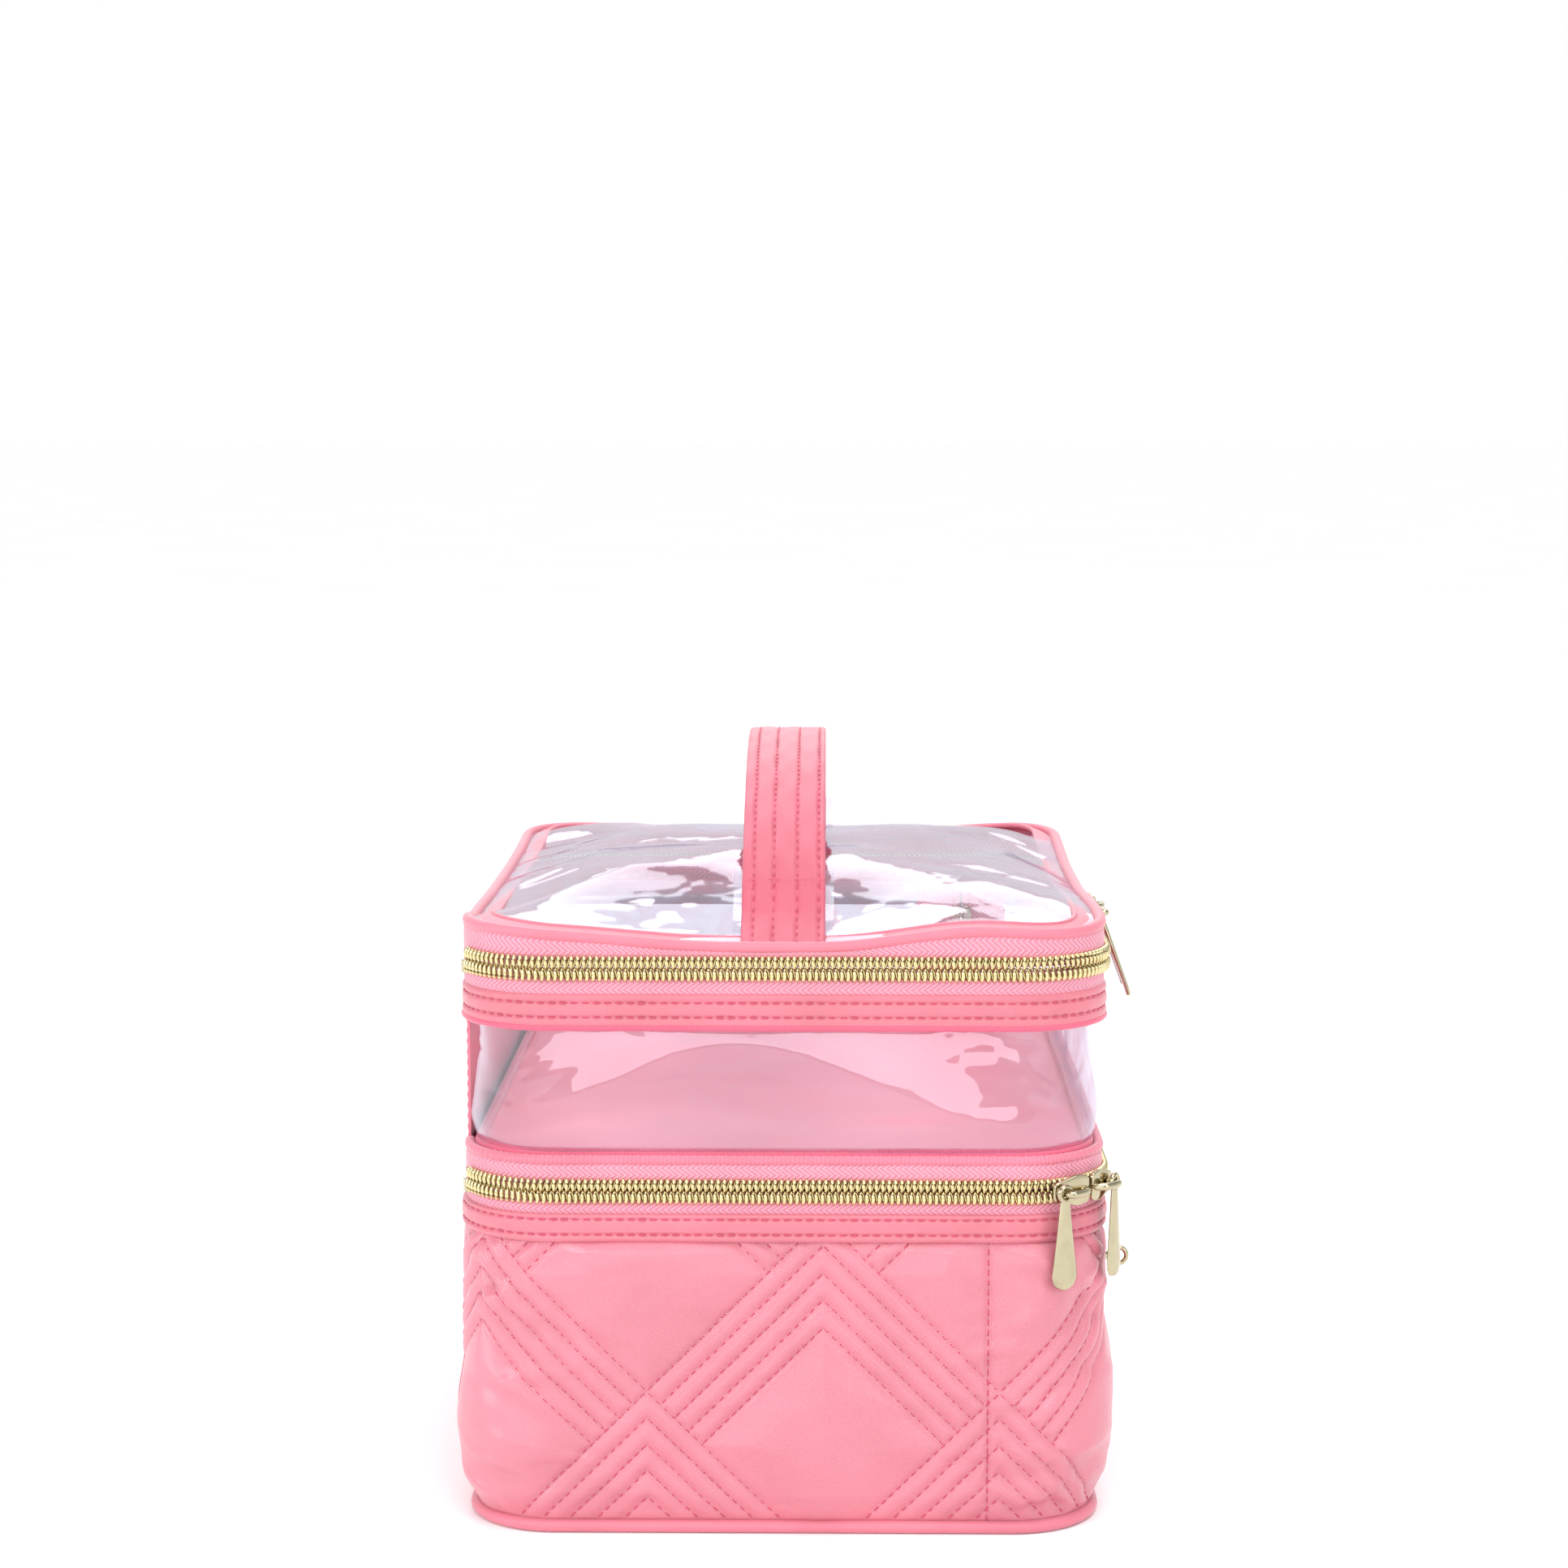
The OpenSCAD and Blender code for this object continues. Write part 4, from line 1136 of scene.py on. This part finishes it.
def pull_shape(lean):
    """A teardrop pull hanging from its eye; the eye is a heavier ring round its hole."""
    shape = Shape()
    t = np.linspace(0, 1, 40)
    drop = 2.2 * MM + t * (PULL_L - 2.2 * MM)
    tip = PULL_L - TIP_R
    k = np.clip((drop - 2.2 * MM) / (tip - 2.2 * MM), 0, 1)
    half = np.where(drop < tip, 1.75 * MM + (TIP_R - 1.75 * MM) * k**1.15,
                    np.sqrt(np.maximum(TIP_R**2 - (drop - tip) ** 2, 0)))
    half[-1] = 0.12 * MM
    w = np.linspace(-1, 1, 17)
    thick = (0.3 + 0.6 * (1 - w**2)) * MM * np.sqrt(np.clip(1 - np.abs(w) ** 7, 0, 1)) + 0.02 * MM
    close = np.clip(half / (1.0 * MM), 0.15, 1)[:, None]
    x = half[:, None] * w
    front = join(x, thick * close, -drop[:, None])
    back = front * np.array([1, -1, 1])
    points = np.concatenate([front, back[:, ::-1]], 1)
    shape.skin(points, drop, np.arange(35) * 0.5 * MM, flip=True)
    a = around(40)
    ring = (EYE_R + EYE_HOLE) / 2
    path = join(ring * np.cos(a), 0, ring * np.sin(a))
    tube(shape, path, (EYE_R - EYE_HOLE) / 2, 12, (0, 1, 0), closed=True)
    shape.move(Matrix.Rotation(math.radians(lean), 4, "X"))
    return shape


def metal_piece(shape, name, node, place, body, sharp=55):
    """Moves a shape to its place and makes it a gold piece."""
    shape.move(place)
    return fit(shape.build(name, [pull_gold], sharp=sharp), node, body)


def slider_and_pull(name, place, nose, lean):
    """A slider, its nose towards +x or -x, and its pull, each riding on its own body."""
    mirror = Matrix.Scale(-1, 4, (1, 0, 0)) if nose < 0 else Matrix.Identity(4)
    slider = metal_piece(slider_shape(), f"{name}_body", name, place @ mirror, name)
    if nose < 0:
        slider.data.flip_normals()
    pull = name.replace("slider", "pull")
    post = place @ Matrix.Translation((-nose * POST_X, PULL_GAP, 0))
    metal_piece(pull_shape(lean), f"{pull}_drop", pull, post, pull, sharp=60)


slider_and_pull("upper_slider_left", on_front(UPPER_MEET_X - SLIDER_GAP, UPPER_SEAM), -1, 20)
slider_and_pull("upper_slider_right", on_front(UPPER_MEET_X + SLIDER_GAP, UPPER_SEAM), 1, 20)
slider_and_pull("lower_slider_side", on_corner(33, LOWER_SEAM), -1, 0)
slider_and_pull("lower_slider_front", on_corner(59, LOWER_SEAM), 1, 0)


def pocket_metal():
    low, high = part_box("pocket_slider")
    z = (low[2] + high[2]) / 2
    base = Matrix.Translation((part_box("pocket_zip_tape")[0][0], POCKET_Y, z))
    inward = base @ Matrix.Rotation(math.pi / 2, 4, "Z") @ Matrix.Rotation(-math.pi / 2, 4, "Y")
    small = inward @ Matrix.Scale(0.8, 4) @ Matrix.Translation((POST_X, -1.2 * MM, 0))
    metal_piece(slider_shape(), "pocket_slider_body", "pocket_slider", small, "pocket_slider")
    low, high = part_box("pocket_pull")
    hang = Matrix.Translation(((low[0] + high[0]) / 2, POCKET_Y, high[2] - 1.9 * MM))
    shrink = Matrix.Scale((high[2] - 1.9 * MM - low[2]) / PULL_L, 4)
    metal_piece(pull_shape(0), "pocket_pull_drop", "pocket_pull",
                hang @ Matrix.Rotation(math.pi / 2, 4, "Z") @ shrink, "pocket_pull")


pocket_metal()


def charm_ring():
    low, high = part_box("charm_ring")
    centre = (Vector(low) + Vector(high)) / 2
    wire = 0.75 * MM
    major = (high[2] - low[2]) / 2 - wire
    a = around(48)
    path = join(0, major * np.cos(a), major * np.sin(a))
    shape = Shape()
    tube(shape, path, wire, 12, (1, 0, 0), closed=True)
    metal_piece(shape, "charm_ring_wire", "charm_ring", Matrix.Translation(centre), "charm")


charm_ring()


# ---- CAD nodes that stay
KEPT = {
    pull_gold: ("charm_ring_plate", "lower_zip_end_stops", "upper_zip_end_stops"),
    under_cloth: ("base_panel",),
    board: ("base_board", "divider_board"),
}
for material, names in KEPT.items():
    for name in names:
        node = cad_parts[name]
        for slot_ in node.material_slots:
            slot_.material = material


# ---- floor, light and camera
def stage():
    n = Nodes("plain_floor")
    bsdf = n.new("ShaderNodeBsdfPrincipled", Roughness=0.7)
    n.put(bsdf.inputs["Base Color"], n.ramp(n.noise(3.0), (0.93, 0.93, 0.93, 1), (0.95, 0.95, 0.95, 1)))
    bsdf.inputs["Specular IOR Level"].default_value = 0.1
    n.finish(bsdf)
    floor = Shape()
    reach = 30.0
    corners = np.array([[(-reach, -reach, 0), (-reach, reach, 0)], [(reach, -reach, 0), (reach, reach, 0)]])
    floor.grid(corners, [0, 60], [0, 60])
    piece = floor.build("floor", [n.material])
    piece.location.z = -0.05 * MM


def add_aimed(thing, direction):
    """Puts a lamp or camera in the scene, looking along a direction."""
    thing.rotation_mode = "QUATERNION"
    thing.rotation_quaternion = direction.to_track_quat("-Z", "Y")
    bpy.context.scene.collection.objects.link(thing)


def lamp(name, kind, place, target, energy, size):
    data = bpy.data.lights.new(name, kind)
    data.energy = energy
    if kind == "AREA":
        data.shape = "RECTANGLE"
        data.size, data.size_y = size
    else:
        data.angle = math.radians(size)
    lamp_object = bpy.data.objects.new(name, data)
    lamp_object.location = place
    add_aimed(lamp_object, Vector(target) - Vector(place))


def studio_world():
    """White near the horizon, darker overhead, so that shiny surfaces show their shape."""
    world = bpy.data.worlds.new("studio")
    world.use_nodes = True
    tree = world.node_tree
    place = tree.nodes.new("ShaderNodeTexCoord")
    split = tree.nodes.new("ShaderNodeSeparateXYZ")
    ramp = tree.nodes.new("ShaderNodeValToRGB")
    ramp.color_ramp.elements[0].position, ramp.color_ramp.elements[1].position = 0.2, 0.45
    ramp.color_ramp.elements[0].color = (1, 1, 1, 1)
    ramp.color_ramp.elements[1].color = (0.56, 0.56, 0.57, 1)
    tree.links.new(place.outputs["Generated"], split.inputs[0])
    tree.links.new(split.outputs[2], ramp.inputs[0])
    tree.links.new(ramp.outputs[0], tree.nodes["Background"].inputs[0])
    tree.nodes["Background"].inputs[1].default_value = 1.0
    bpy.context.scene.world = world


def lights():
    studio_world()
    case = (0, 0, 0.12)
    lamp("key", "SUN", (-0.6, -0.5, 2.5), case, 1.55, 45)
    lamp("front_box", "AREA", (-2.6, 0.1, 1.1), case, 19, (2.5, 0.95))
    lamp("left_box", "AREA", (-1.2, 1.5, 1.0), case, 14, (0.5, 0.9))
    lamp("right_box", "AREA", (-1.3, -1.5, 0.9), case, 5, (0.5, 0.9))
    lamp("top_box", "AREA", (0.95, 0.1, 1.35), case, 9, (1.2, 0.7))
    lamp("back_box", "AREA", (2.6, 0, 1.25), case, 9, (2.6, 0.85))


def camera():
    """The viewing angle: level with the left end, from a little above it."""
    focal = 4100 / 1932 * 36
    yaw, pitch = math.radians(0.75), math.radians(6.39)
    data = bpy.data.cameras.new("camera")
    data.lens = focal
    data.clip_start, data.clip_end = 0.05, 100
    cam = bpy.data.objects.new("camera", data)
    cam.location = (-1.091, -0.013, 0.334)
    aim = Vector((math.cos(pitch) * math.cos(yaw), math.cos(pitch) * math.sin(yaw), -math.sin(pitch)))
    add_aimed(cam, aim)
    bpy.context.scene.camera = cam


stage()
lights()
camera()
bpy.context.scene.view_settings.view_transform = "Standard"
